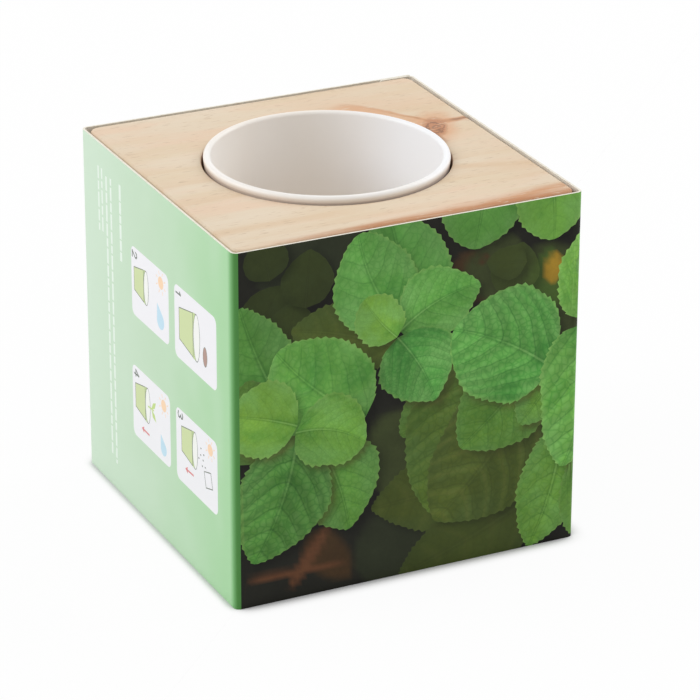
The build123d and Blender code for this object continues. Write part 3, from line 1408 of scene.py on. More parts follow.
    def _draw_pellet(self) -> None:
        """The first card: the pellet goes into the pot."""
        self._numeral("1", (47.5, 57.9))
        self._pot((49.0, 51.0), 8.3, 4.9)
        self._disc((61.3, 48.6), (1.05, 2.1), self.LINE)
        self._disc((61.3, 48.6), (0.9, 1.95), self.PELLET)

    def _draw_shoot(self) -> None:
        """The fourth card: a seedling in the pot, sun and water."""
        self._numeral("4", (25.5, 31.9))
        self._pot((26.0, 26.2), 6.2, 3.8)
        self._stroke(((32.4, 26.2), (35.2, 26.4)), 0.36, self.SHOOT)
        self._lay([(34.0, 26.3), (34.9, 27.9), (36.4, 28.5), (35.7, 27.0)], self.SHOOT)
        self._lay([(34.0, 26.3), (35.7, 25.6), (36.4, 24.2), (34.7, 24.7)], self.SHOOT)
        self._sun((40.4, 29.6), 1.3)
        self._drop((40.0, 19.9), 1.5)
        self._pointer((28.8, 20.0), (32.6, 19.9))

    def _draw_sowing(self) -> None:
        """The third card: seeds fall from the sachet into the pot."""
        self._numeral("3", (47.6, 31.8))
        self._pot((49.3, 26.3), 6.5, 3.9)
        for seed in range(7):
            turn = GOLDEN_TURN * seed
            reach = 0.75 * math.sqrt(seed + 0.4)
            spot = (59.2 + reach * math.cos(turn), 25.9 + reach * math.sin(turn) * 1.2)
            self._disc(spot, (0.26, 0.20), self.LINE, 8)
        self._sun((63.2, 29.6), 1.25)
        flap = [(60.9, 20.4), (64.3, 21.4), (63.4, 24.8), (60.0, 23.8)]
        self._lay(flap, self.LINE)
        middle = np.mean(flap, axis=0)
        self._lay([tuple(middle + (np.array(p) - middle) * 0.88) for p in flap], self.WHITE)
        self._pointer((50.8, 20.4), (54.8, 20.5))


class Foliage:
    """Lays the leaves of the picture panels, in strip millimetres."""

    DARK = ink("20201a")
    SHADOW = ink("2d3222")
    OLIVE = ink("3c4426")
    MOSS = ink("4c642c")
    BROWN = ink("46331f")
    RUST = ink("66422c")
    YELLOW = ink("a8862c")

    def __init__(self, seed: int) -> None:
        """Starts the layout.

        Args:
            seed: Fixes the chance in the side and back panels.
        """
        self.chance = np.random.default_rng(seed)
        self.leaves: list[Leaf] = []
        self.blots: list[Blot] = []

    def front(self, start: float) -> None:
        """Lays the panel that faces -Y.

        Args:
            start: Where the panel's flat part begins along the strip.
        """
        far = (
            (Leaf((2.4, 70.1), 20, 18, 0.5), self.SHADOW, 2.6),
            (Leaf((16.2, 68.2), 30, 12, 0.5), self.SHADOW, 2.4),
            (Leaf((46.7, 66.3), -60, 12, 0.4), self.BROWN, 2.5),
            (Leaf((51.7, 56.4), 60, 14, 0.5), self.OLIVE, 2.2),
            (Leaf((60.5, 57.5), 20, 13, 0.5), self.OLIVE, 2.0),
            (Leaf((65.5, 50.6), 85, 14, 0.35), self.MOSS, 1.8),
            (Leaf((66.9, 57.0), 80, 6.5, 0.34), self.YELLOW, 1.0),
            (Leaf((50.7, 63.4), 40, 3.5, 0.2), self.BROWN, 1.2),
            (Leaf((28.1, 20.7), 40, 20, 0.5), self.OLIVE, 2.5),
            (Leaf((24.2, 4.9), 10, 26, 0.35), self.SHADOW, 3.0),
            (Leaf((40.0, 3.0), 25, 34, 0.3), self.OLIVE, 3.0),
            (Leaf((14.3, 12.8), -50, 14, 0.3), self.BROWN, 2.2),
            (Leaf((0.6, 6.0), -2, 22, 0.035), self.RUST, 0.9),
            (Leaf((10.4, 2.4), 55, 15, 0.09), self.RUST, 1.5),
            (Leaf((67.5, 24.8), -70, 12, 0.2), self.RUST, 1.4),
        )
        for shape, colour, blur in far:
            self.blots.append(Blot(shape.moved(start), colour, blur))
        dim = {"relief": 0.15, "haze": 0.35, "tooth": 0.1}
        near = (
            # Dim leaves in the dark above the left sprig
            Leaf((2.9, 56.3), 62, 12, 0.46, 0.02, 0.20, 0.5, **dim),
            Leaf((9.8, 51.9), 80, 11.5, 0.48, 0.02, 0.25, 0.5, **dim),
            Leaf((13.7, 61.3), 85, 12, 0.46, 0.0, 0.22, 0.6, **dim),
            Leaf((6.3, 68.2), 100, 10, 0.46, 0.0, 0.18, 0.6, **dim),
            Leaf((58.1, 55.5), 78, 11.5, 0.46, 0.02, 0.28, 0.5, **dim),
            Leaf((61.5, 62.4), 170, 9, 0.40, 0.02, 0.24, 0.6, **dim),
            # Two leaves at the top, nearly in focus
            Leaf((52.0, 84.5), 263, 17.6, 0.50, 0.03, 0.72, 0.22, 0.2, 0.45, -0.3, 0.0, 0.34),
            Leaf((65.5, 84.0), 276, 18.0, 0.48, 0.04, 0.93, 0.40, 0.2, 0.40, -0.2, 0.0, 0.32),
            # Leaves in the shade behind the sprigs
            Leaf((33.0, 49.5), 161, 23.5, 0.31, -0.04, 0.36, 0.70, 0.3, 0.6),
            Leaf((9.2, 41.0), 112, 24.5, 0.29, 0.03, 0.66, 0.22, 0.4, 0.7),
            Leaf((3.5, 30.6), 95, 18.0, 0.44, 0.03, 0.50, 0.35, 0.3, 0.7),
            Leaf((56.6, 45.6), 214, 27, 0.36, 0.04, 0.52, 0.52, 0.3, 0.9),
            Leaf((63.6, 20.9), 188, 36, 0.27, 0.03, 0.30, 0.75, 0.2, 0.7),
            Leaf((69.5, 14.0), 202, 38, 0.24, 0.03, 0.27, 0.70, 0.2, 0.6, 0.0, 0.15),
            Leaf((55.6, 40.6), 243, 32, 0.40, -0.05, 0.47, 0.70, 0.35, 1.1),
            Leaf((63.6, 35.2), 229, 33, 0.41, 0.05, 0.37, 0.80, -0.3, 1.2),
            Leaf((65.0, 41.5), 223, 24.0, 0.42, 0.03, 0.60, 0.48, 0.3, 0.8),
            Leaf((71.5, 42.0), 233, 18.0, 0.38, 0.03, 0.70, 0.50, 0.3, 0.8),
            Leaf((70.4, 24.5), 254, 25.5, 0.30, 0.05, 0.76, 0.52, 0.3, 0.9),
            Leaf((75.0, 17.5), 264, 17, 0.26, 0.03, 0.72, 0.50, 0.3, 0.6),
            Leaf((16.0, 33.4), 289, 22.0, 0.42, 0.05, 0.68, 0.34, 0.4, 0.8),
            # The upper sprig
            Leaf((34.2, 52.5), 97, 26, 0.40, -0.05, 0.78, 0.16, -0.5, 0.7, -0.3, 0.0, 0.26),
            Leaf((34.6, 53.6), 115, 23.0, 0.38, 0.07, 0.87, 0.18, 0.3, 0.8, 0.3, 0.0, 0.34),
            Leaf((34.0, 52.8), 22, 18.6, 0.41, 0.08, 0.94, 0.20, 0.5, 0.8, 0.2),
            Leaf((33.4, 51.5), 300, 17.0, 0.48, 0.05, 0.84, 0.08, 0.5, 1.0, 0.3, 0.0, 0.18),
            # The right sprig
            Leaf((74.8, 47.6), 81, 22, 0.40, -0.05, 1.20, 0.50, -0.3, 0.9, 0.2),
            Leaf((67.5, 38.8), 151, 25.0, 0.50, -0.05, 0.96, 0.12, 0.35, 1.25, 0.2, 0.0, 0.30),
            Leaf((74.4, 46.6), 263, 30.5, 0.35, 0.10, 1.00, 0.30, -0.3, 1.2, 0.2),
            # The lower left sprig
            Leaf((26.6, 36.0), 138, 25.5, 0.43, 0.05, 0.96, 0.26, 0.18, 0.8, 0.2, 0.0, 0.34),
            Leaf((12.0, 35.0), 250, 27.4, 0.36, 0.06, 0.63, 0.22, -0.4, 1.3, 0.2, 0.0, 0.22),
            Leaf((12.0, 37.0), 162, 15.5, 0.50, -0.03, 0.92, 0.58, 0.35, 0.5, -0.2, 0.0, 0.40),
            Leaf((11.6, 35.6), 342, 15.8, 0.49, 0.10, 0.89, 0.46, 0.4, 0.7, 0.2, 0.0, 0.34),
            # The young leaf of the upper sprig
            Leaf((33.3, 51.6), 128, 11.6, 0.44, 0.04, 0.90, 0.55, -0.35, 0.5, -0.3, 0.0, 0.38),
        )
        self.leaves += [leaf.moved(start) for leaf in near]

    def sprig(self, centre: Point, turn: float, size: float) -> None:
        """Lays one sprig seen from above: crossed pairs that get smaller and paler.

        Args:
            centre: The middle of the sprig on the strip.
            turn: Its turn in degrees.
            size: The length of its largest leaves.
        """
        # The bearing, length, breadth, light and warmth of each pair
        pairs = (
            (0, 1.0, 0.40, 0.74, 0.18),
            (88, 0.86, 0.42, 0.86, 0.22),
            (35, 0.52, 0.44, 0.95, 0.42),
            (118, 0.30, 0.42, 1.0, 0.62),
        )
        for bearing, share, breadth, light, warmth in pairs:
            for half in (0, 180):
                sway = self.chance.normal(0, 9)
                length = size * share * self.chance.uniform(0.88, 1.12)
                self.leaves.append(
                    Leaf(
                        centre,
                        turn + bearing + half + sway,
                        length,
                        breadth * self.chance.uniform(0.92, 1.1),
                        self.chance.uniform(-0.06, 0.06),
                        light * self.chance.uniform(0.85, 1.05),
                        min(1.0, warmth * self.chance.uniform(0.6, 1.5)),
                        self.chance.uniform(-0.5, 0.5),
                        self.chance.uniform(0.5, 1.1),
                        self.chance.uniform(-0.5, 0.5),
                    )
                )

    def chance_panel(self, start: float, end: float, height: float, sprigs: Sequence[Point]) -> None:
        """Lays a side or back panel: blurred leaves by chance, and sprigs at given places.

        Args:
            start: Where the panel begins along the strip.
            end: Where it ends.
            height: How tall it is.
            sprigs: The middle of each sprig, from the panel's start.
        """
        tones = (self.SHADOW, self.OLIVE, self.MOSS, self.OLIVE, self.BROWN)
        for number in range(26):
            base = (self.chance.uniform(start, end), self.chance.uniform(0, height))
            shape = Leaf(base, self.chance.uniform(0, 360), self.chance.uniform(10, 20), 0.45)
            blur = self.chance.uniform(1.4, 3.2)
            self.blots.append(Blot(shape, tones[number % len(tones)], blur))
        for number, (along, up) in enumerate(sprigs):
            self.sprig((start + along, up), 50 * number + 20, self.chance.uniform(19, 26))


@dataclass(frozen=True)
class FlatCut:
    """The flat strip after it is cut along its print.

    Each triangle has the Area that it lies in, and the number of the leaf or patch that lies
    uppermost there as its owner, or NOBODY.
    """

    points: np.ndarray
    triangles: np.ndarray
    areas: np.ndarray
    owners: np.ndarray

    def corners(self) -> np.ndarray:
        """The strip points of each triangle."""
        return self.points[self.triangles]


@dataclass
class CardSleeve:
    """The sleeve: one printed strip of card round the block, closed on its own flap."""

    side: float = SLEEVE.width
    height: float = SLEEVE.height
    board: float = 0.45
    fold_radius: float = 1.3
    free_edge_setback: float = 0.35
    glue_gap: float = 0.05
    flap_width: float = 11.0
    flap_cut: float = 4.0
    picture_pitch: float = 1.1
    plain_pitch: float = 3.0
    fold_steps: int = 6
    fold_margin: float = 0.25
    picture_start: float = 0.92
    shadow_offset: Point = (1.0, -1.0)
    shadow_inset: float = 0.6
    shadow_blur: float = 3.2
    shadow_depth: float = 0.70
    shadow_reach: float = 4.0
    ground_dusk: float = 0.35
    leaf_dusk: float = 0.42
    seed: int = 7
    back_sprigs: tuple[Point, ...] = ((14, 50), (44, 30), (62, 66), (30, 8), (72, 12))
    right_sprigs: tuple[Point, ...] = ((24, 22), (50, 58), (16, 66), (58, 14))

    length: float = field(init=False)
    seams: Triple = field(init=False)
    stretches: list[tuple[float, float]] = field(default_factory=list)

    def __post_init__(self) -> None:
        """Works out where each flat stretch begins and ends, and where the print changes."""
        half = self.side / 2
        turn = self.fold_radius * math.pi / 2
        across = self.side - 2 * self.fold_radius
        lengths = (
            half - self.free_edge_setback + half - self.fold_radius,
            across,
            across,
            across - (self.board + self.glue_gap),
            self.flap_width + self.board / 2 - self.fold_radius,
        )
        place = 0.0
        for length in lengths:
            self.stretches.append((place, place + length))
            place += length + turn
        self.length = place - turn
        back, panel, front, right, flap = self.stretches
        self.seams = (
            (back[1] + panel[0]) / 2,
            front[0] - turn + turn * self.picture_start,
            (right[1] + flap[0]) / 2,
        )

    def wrap(self, strip: np.ndarray, depth: float = 0.0) -> np.ndarray:
        """Wraps places along the strip round the block.

        Args:
            strip: Millimetres along the strip's outer face, from its free edge.
            depth: Millimetres below that face.

        Returns:
            The x and y of each, in millimetres.
        """
        out = np.zeros((len(strip), 2))
        half = self.side / 2
        point = np.array([half - self.free_edge_setback, half])
        heading = math.pi
        for number, (start, end) in enumerate(self.stretches):
            way = np.array([math.cos(heading), math.sin(heading)])
            flat = (strip >= start - TOUCH) & (strip <= end + TOUCH)
            left = np.array([-way[1], way[0]])
            out[flat] = point + (strip[flat] - start)[:, None] * way + left * depth
            point = point + way * (end - start)
            if number + 1 < len(self.stretches):
                centre = point + left * self.fold_radius
                after = self.stretches[number + 1][0]
                bend = (strip > end + TOUCH) & (strip < after - TOUCH)
                turned = (strip[bend] - end) / self.fold_radius + heading - math.pi / 2
                out[bend, 0] = centre[0] + (self.fold_radius - depth) * np.cos(turned)
                out[bend, 1] = centre[1] + (self.fold_radius - depth) * np.sin(turned)
                heading += math.pi / 2
                way = np.array([math.cos(heading), math.sin(heading)])
                point = centre + np.array([way[1], -way[0]]) * self.fold_radius
        return out

    def _stood_up(self, points: np.ndarray, depth: float = 0.0) -> np.ndarray:
        """Strip points as places round the block in metres, this far below the outer face."""
        return np.column_stack([self.wrap(points[:, 0], depth), points[:, 1]]) * MM

    def build(self) -> bpy.types.Object:
        """Prints, wraps, thickens, dresses and enlists the sleeve.

        Returns:
            The sleeve.
        """
        panel_from = self.seams[0]
        foliage = Foliage(self.seed)
        foliage.front(self.stretches[2][0])
        foliage.chance_panel(0.0, panel_from, self.height, self.back_sprigs)
        foliage.chance_panel(self.stretches[3][0], self.length, self.height, self.right_sprigs)
        drawn = Pictograms().draw()
        patches = [Patch(each.outline + np.array([panel_from, 0.0]), each.colour) for each in drawn]
        cut = self._cut(foliage, patches)
        printed = len(cut.triangles)
        LOG.info("sleeve print: %d points, %d triangles", len(cut.points), printed)
        outer = self._stood_up(cut.points)
        mesh = bpy.data.meshes.new("printed_sleeve")
        mesh.from_pydata(outer.tolist(), [], cut.triangles.tolist())
        self._write_print(mesh, cut, foliage, patches)
        sleeve = bpy.data.objects.new("printed_sleeve", mesh)
        bpy.context.scene.collection.objects.link(sleeve)
        finishes = (
            LeafPictureFinish(),
            InstructionFinish(),
            BoardFinish(BoardSide.INSIDE),
            BoardFinish(BoardSide.CUT),
        )
        Bench.dress(sleeve, *(finish.build() for finish in finishes))
        Bench.select(sleeve)
        thickness = self.board * MM
        Bench.apply(sleeve, "SOLIDIFY", thickness=thickness, offset=-1.0, use_even_offset=False)
        inner = self._stood_up(cut.points, self.board)
        sleeve.data.vertices.foreach_set("co", np.vstack([outer, inner]).reshape(-1))
        slots = np.full(len(sleeve.data.polygons), Slot.EDGE, np.int32)
        slots[:printed] = np.array(AREA_SLOTS)[cut.areas]
        slots[printed : 2 * printed] = Slot.BOARD
        sleeve.data.polygons.foreach_set("material_index", slots)
        bpy.ops.object.shade_smooth_by_angle(angle=math.radians(28))
        Bench.enlist(sleeve, "sleeve", "printed_card", "card_sleeve")
        return sleeve

    def _cut(self, foliage: Foliage, patches: Sequence[Patch]) -> FlatCut:
        """Cuts the flat strip along every printed outline.

        Args:
            foliage: The leaves.
            patches: The flat shapes, already on the strip.

        Returns:
            The triangles of the strip without the flap's cut corners.
        """
        top, end, slant = self.height, self.length, self.flap_cut
        cut_end = [(end - slant, 0), (end, slant), (end, top - slant), (end - slant, top)]
        sheet = [(0, 0), *cut_end, (0, top)]
        marks = (0.0, *self.seams)
        rings = [[(low, 0), (high, 0), (high, top), (low, top)] for low, high in zip(marks, marks[1:])]
        shapes = [np.array(ring, float) for ring in (sheet, *rings)]
        first_leaf = len(shapes)
        shapes += [leaf.outline() for leaf in foliage.leaves]
        first_patch = len(shapes)
        shapes += [patch.outline for patch in patches]
        leaf_numbers = range(first_leaf, first_patch)
        patch_numbers = range(first_patch, len(shapes))
        # The shapes that may own a triangle, in the order of Area
        numbers = (range(0), leaf_numbers, patch_numbers, leaf_numbers)
        points, faces = self._laid(shapes)
        edges = self._add_folds(points)
        points += [Vector(spot) for spot in self._grid()]
        places, _, triangles, _, _, sources = delaunay_2d_cdt(points, edges, faces, 0, 1e-4, True)
        kept: list[list[int]] = []
        areas: list[int] = []
        owners: list[int] = []
        for triangle, source in zip(triangles, sources):
            place, level = np.mean([tuple(places[corner]) for corner in triangle], axis=0)
            over_slant = max(0.0, place - (end - slant))
            if not over_slant < level < top - over_slant:
                continue
            # Beyond the last seam the count comes round to BARE, which is the flap.
            area = (Area.BACK + sum(place > seam for seam in self.seams)) % len(Area)
            uppermost = max((shape for shape in source if shape in numbers[area]), default=None)
            kept.append(list(triangle))
            areas.append(area)
            owners.append(NOBODY if uppermost is None else numbers[area].index(uppermost))
        spots = np.array([tuple(place) for place in places])
        return FlatCut(spots, np.array(kept), np.array(areas), np.array(owners))

    def _laid(self, shapes: Sequence[np.ndarray]) -> tuple[list[Vector], list[list[int]]]:
        """Trims outlines to the sheet and turns them counter-clockwise.

        Args:
            shapes: The outlines, the sheet's own first.

        Returns:
            Their points, and the numbers of each outline's points. An outline that lies off
            the sheet is given as the sheet's own.
        """
        points: list[Vector] = []
        faces: list[list[int]] = []
        for whole in shapes:
            shape = self._within_sheet(whole)
            if len(shape) < 3:
                faces.append(faces[0])
                continue
            following = np.roll(shape, -1, axis=0)
            turn = np.sum(shape[:, 0] * following[:, 1] - following[:, 0] * shape[:, 1])
            ordered = shape if turn > 0 else shape[::-1]
            faces.append(list(range(len(points), len(points) + len(ordered))))
            points += [Vector((float(p[0]), float(p[1]))) for p in ordered]
        return points, faces

    def _add_folds(self, points: list[Vector]) -> list[tuple[int, int]]:
        """Adds the ends of the cuts that let the folds bend, and returns the cuts."""
        cuts: list[tuple[int, int]] = []
        for (_, fold), (after, _) in zip(self.stretches, self.stretches[1:]):
            width = after - fold
            steps = [fold + width * step / self.fold_steps for step in range(self.fold_steps + 1)]
            for place in [fold - self.fold_margin, *steps, after + self.fold_margin]:
                cuts.append((len(points), len(points) + 1))
                points += [Vector((place, 0.0)), Vector((place, self.height))]
        return cuts

    def _within_sheet(self, shape: np.ndarray) -> np.ndarray:
        """The part of an outline that lies within the strip's length and height."""
        kept = shape
        for axis, limit, sign in ((0, 0.0, 1), (0, self.length, -1), (1, 0.0, 1), (1, self.height, -1)):
            ring: list[np.ndarray] = []
            for before, after in zip(np.roll(kept, 1, axis=0), kept):
                gap_before, gap_after = (before[axis] - limit) * sign, (after[axis] - limit) * sign
                if gap_before * gap_after < 0:
                    ring.append(before + (after - before) * gap_before / (gap_before - gap_after))
                if gap_after >= 0:
                    ring.append(after)
            kept = np.array(ring)
            if len(kept) < 3:
                break
        return kept

    def _grid(self) -> list[Point]:
        """Points that keep the triangles small enough for soft tones."""
        spots: list[Point] = []
        marks = (0.0, *self.seams, self.length)
        for number, (start, end) in enumerate(zip(marks, marks[1:])):
            # The pictures lie on the first and third of the four stretches.
            pitch = self.plain_pitch if number % 2 else self.picture_pitch
            across = max(2, round((end - start) / pitch))
            up = max(2, round(self.height / pitch))
            for i in range(across + 1):
                place = start + (end - start) * i / across
                over = place - (self.length - self.flap_cut)
                heights = (self.height * j / up for j in range(up + 1))
                spots += [(place, h) for h in heights if over <= 0 or over <= h <= self.height - over]
        return spots

    def _write_print(
        self, mesh: bpy.types.Mesh, cut: FlatCut, foliage: Foliage, patches: Sequence[Patch]
    ) -> None:
        """Writes the print's attributes on the flat-cut mesh.

        Args:
            mesh: The mesh, one polygon for each triangle.
            cut: The cut strip.
            foliage: The leaves and blots.
            patches: The flat shapes.
        """
        corners = cut.corners()
        picture = np.isin(cut.areas, (Area.BACK, Area.PICTURE))
        leaf_owner = np.where(picture, cut.owners, OFF_PICTURE)
        shade = self._cast_shadows(corners, leaf_owner, foliage)
        place = np.zeros((len(corners), 3, 2))
        place[~picture] = (corners[~picture] - np.array([self.seams[0], 0.0])) / PANEL_UV
        tone, form, inked = (np.zeros((len(corners), 3, 4)) for _ in range(3))
        ground = self._paint_ground(corners, foliage)
        ground[..., :3] *= (self.ground_dusk + (1 - self.ground_dusk) * shade)[..., None]
        for number, leaf in enumerate(foliage.leaves):
            rows = leaf_owner == number
            along, across = leaf.on_leaf(corners[rows])
            edge = np.clip(np.abs(across) / np.maximum(leaf.half_width(along), 0.02), 0, 1.2)
            light = leaf.light * (self.leaf_dusk + (1 - self.leaf_dusk) * shade[rows])
            place[rows] = channels(along, across)
            tone[rows] = channels(leaf.warmth, light, edge, 1.0 - leaf.haze)
            own_number = (number * GOLDEN_SHARE) % 1.0
            form[rows] = (leaf.tilt / 2 + 0.5, own_number, leaf.droop / 2 + 0.5, leaf.relief)
        for number, patch in enumerate(patches):
            inked[(cut.areas == Area.PANEL) & (cut.owners == number)] = patch.colour
        uv = mesh.uv_layers.new(name=PrintData.PLACE.value)
        uv.data.foreach_set("uv", place.reshape(-1).astype(np.float32))
        layers = {
            PrintData.TONE: tone,
            PrintData.FORM: form,
            PrintData.GROUND: ground,
            PrintData.INK: inked,
        }
        for kind, values in layers.items():
            layer = mesh.attributes.new(kind.value, "FLOAT_COLOR", "CORNER")
            layer.data.foreach_set("color", values.reshape(-1).astype(np.float32))

    def _paint_ground(self, corners: np.ndarray, foliage: Foliage) -> np.ndarray:
        """Paints the blurred ground at each corner."""
        ground = np.zeros((*corners.shape[:2], 4))
        ground[:] = Foliage.DARK
        for blot in foliage.blots:
            reach = blot.shape.outside(corners)
            soft = 1 - np.clip((reach + blot.blur / 2) / blot.blur, 0, 1)
            soft = (soft * soft * (3 - 2 * soft))[..., None]
            ground = ground * (1 - soft) + np.array(blot.colour) * soft
        return ground

    def _cast_shadows(
        self, corners: np.ndarray, leaf_owner: np.ndarray, foliage: Foliage
    ) -> np.ndarray:
        """The light that is left at each corner under the leaves above it.

        Args:
            corners: The strip point of each corner.
            leaf_owner: The uppermost leaf of each triangle, NOBODY or OFF_PICTURE.
            foliage: The leaves, the uppermost last.

        Returns:
            1 in full light and less in the shade.
        """
        light = np.ones(corners.shape[:2])
        for number, leaf in enumerate(foliage.leaves):
            reach = leaf.length + self.shadow_reach
            near = np.abs(corners[:, 0, :] - np.array(leaf.base)).max(axis=1) < reach
            rows = near & (leaf_owner < number) & (leaf_owner > OFF_PICTURE)
            gap = leaf.outside(corners[rows] - np.array(self.shadow_offset))
            dark = 1 - np.clip((gap + self.shadow_inset) / self.shadow_blur, 0, 1)
            light[rows] *= 1 - self.shadow_depth * dark * dark
        return light


# The liner pot


@dataclass
class LinerPot:
    """The white liner: a round lip, a shallow collar, a tapered wall and a foot ring."""

    bottom: float = POT.bottom
    height: float = POT.height
    rim_radius: float = POT.width / 2
    lip: float = 1.5
    collar: float = 6.0
    wall: float = 1.15
    floor: float = 1.3
    floor_radius: float = 17.5
    foot_height: float = 0.8
    foot_width: float = 1.8
    ring_round: float = 0.3
    foot_round: float = 0.4
    cove: float = 1.4
    wall_start: float = 1.2
    floor_ring: float = 8.0
    wall_steps: int = 12
    lip_steps: int = 14
    facets: int = 144

    def _inside(self, height: float) -> float:
        """The radius of the tapered inside at a height above the foot."""
        low = self.foot_height + self.floor
        spring = self.height - self.lip / 2
        draft = (self.rim_radius - self.lip - self.floor_radius) / (spring - low)
        return self.floor_radius + draft * (height - low)

    def build(self, finish: LinerFinish) -> bpy.types.Object:
        """Spins, dresses and enlists the pot.

        Args:
            finish: The plastic.

        Returns:
            The pot.
        """
        low = self.foot_height + self.floor
        spring = self.height - self.lip / 2
        ledge = spring - self.collar
        slope = ledge - (self.lip - self.wall)
        foot = self._inside(0) + self.wall
        ring = foot - self.foot_width
        collar = self._inside(ledge) + self.lip
        fine, cove = self.ring_round, self.cove
        outer_heights = np.linspace(self.wall_start, slope - fine, self.wall_steps)
        inner_heights = np.linspace(spring - 1.0, low + cove + 0.2, self.lip_steps)
        section: list[Point] = [(0, self.foot_height), (ring - fine, self.foot_height)]
        section += arc((ring + fine, fine), fine, 180, 270, 3)
        section += arc((foot - self.foot_round, self.foot_round), self.foot_round, 270, 360, 5)
        section += [(self._inside(h) + self.wall, h) for h in outer_heights]
        section += [(self._inside(slope) + self.wall + 0.02, slope)]
        section += [(collar, ledge), (collar, ledge + fine)]
        lip_centre = (self.rim_radius - self.lip / 2, spring)
        section += arc(lip_centre, self.lip / 2, 0, 180, self.lip_steps)
        section += [(self._inside(h), h) for h in inner_heights]
        section += arc((self._inside(low + cove) - cove, low + cove), cove, 0, -90, 6)
        section += [(self.floor_ring, low), (0, low)]
        lifted = [(float(r), float(h) + self.bottom) for r, h in section]
        pot = Bench.turned("liner_pot", lifted, self.facets, 40.0)
        Bench.dress(pot, finish.build())
        Bench.enlist(pot, "pot", "white_plastic", "grow_pot")
        return pot


# The soil pellet


@dataclass
class SoilPellet:
    """The pressed cake of soil: a swollen side, eased rims and a crumbly skin."""

    bottom: float = PELLET.bottom
    radius: float = PELLET.width / 2
    height: float = PELLET.height
    bulge: float = 0.6
    rim: float = 1.5
    roughness: float = 0.35
    crumb_size: float = 1.1
    crumb_level: float = 0.62
    seat_gap: float = 0.02
    face_rings: int = 16
    side_rings: int = 8
    facets: int = 120

    def build(self, finish: SoilFinish) -> bpy.types.Object:
        """Spins, roughens, dresses and enlists the pellet.

        Args:
            finish: The soil.

        Returns:
            The pellet.
        """
        face = self.radius - self.bulge - self.rim
        top = self.bottom + self.height
        rings = [float(r) for r in np.linspace(0, face, self.face_rings)]
        section: list[Point] = [(r, self.bottom) for r in rings]
        section += arc((face, self.bottom + self.rim), self.rim, -70, -10, 4)
        for share in np.linspace(0.12, 0.88, self.side_rings):
            swell = (self.bulge - self.roughness) * math.sin(math.pi * share)
            section.append((face + self.rim + swell, self.bottom + self.height * float(share)))
        section += arc((face, top - self.rim), self.rim, 10, 70, 4)
        section += [(r, top) for r in reversed(rings)]
        pellet = Bench.turned("soil_pellet_cake", section, self.facets, 60.0)
        crumbs = bpy.data.textures.new("crumbs", "CLOUDS")
        crumbs.noise_scale = self.crumb_size * MM
        crumbs.noise_depth = 3
        depth = self.roughness * 2 * MM
        Bench.apply(pellet, "DISPLACE", texture=crumbs, strength=depth, mid_level=self.crumb_level)
        self._settle(pellet)
        Bench.dress(pellet, finish.build())
        Bench.enlist(pellet, "pellet", "pressed_soil", "soil_pellet")
        return pellet

    def _settle(self, pellet: bpy.types.Object) -> None:
        """Keeps the crumbs above the pot's floor and below the sachet."""
        for vertex in pellet.data.vertices:
            low = (self.bottom + self.seat_gap) * MM
            high = (self.bottom + self.height) * MM
            vertex.co.z = min(max(vertex.co.z, low), high)


# The seed sachet


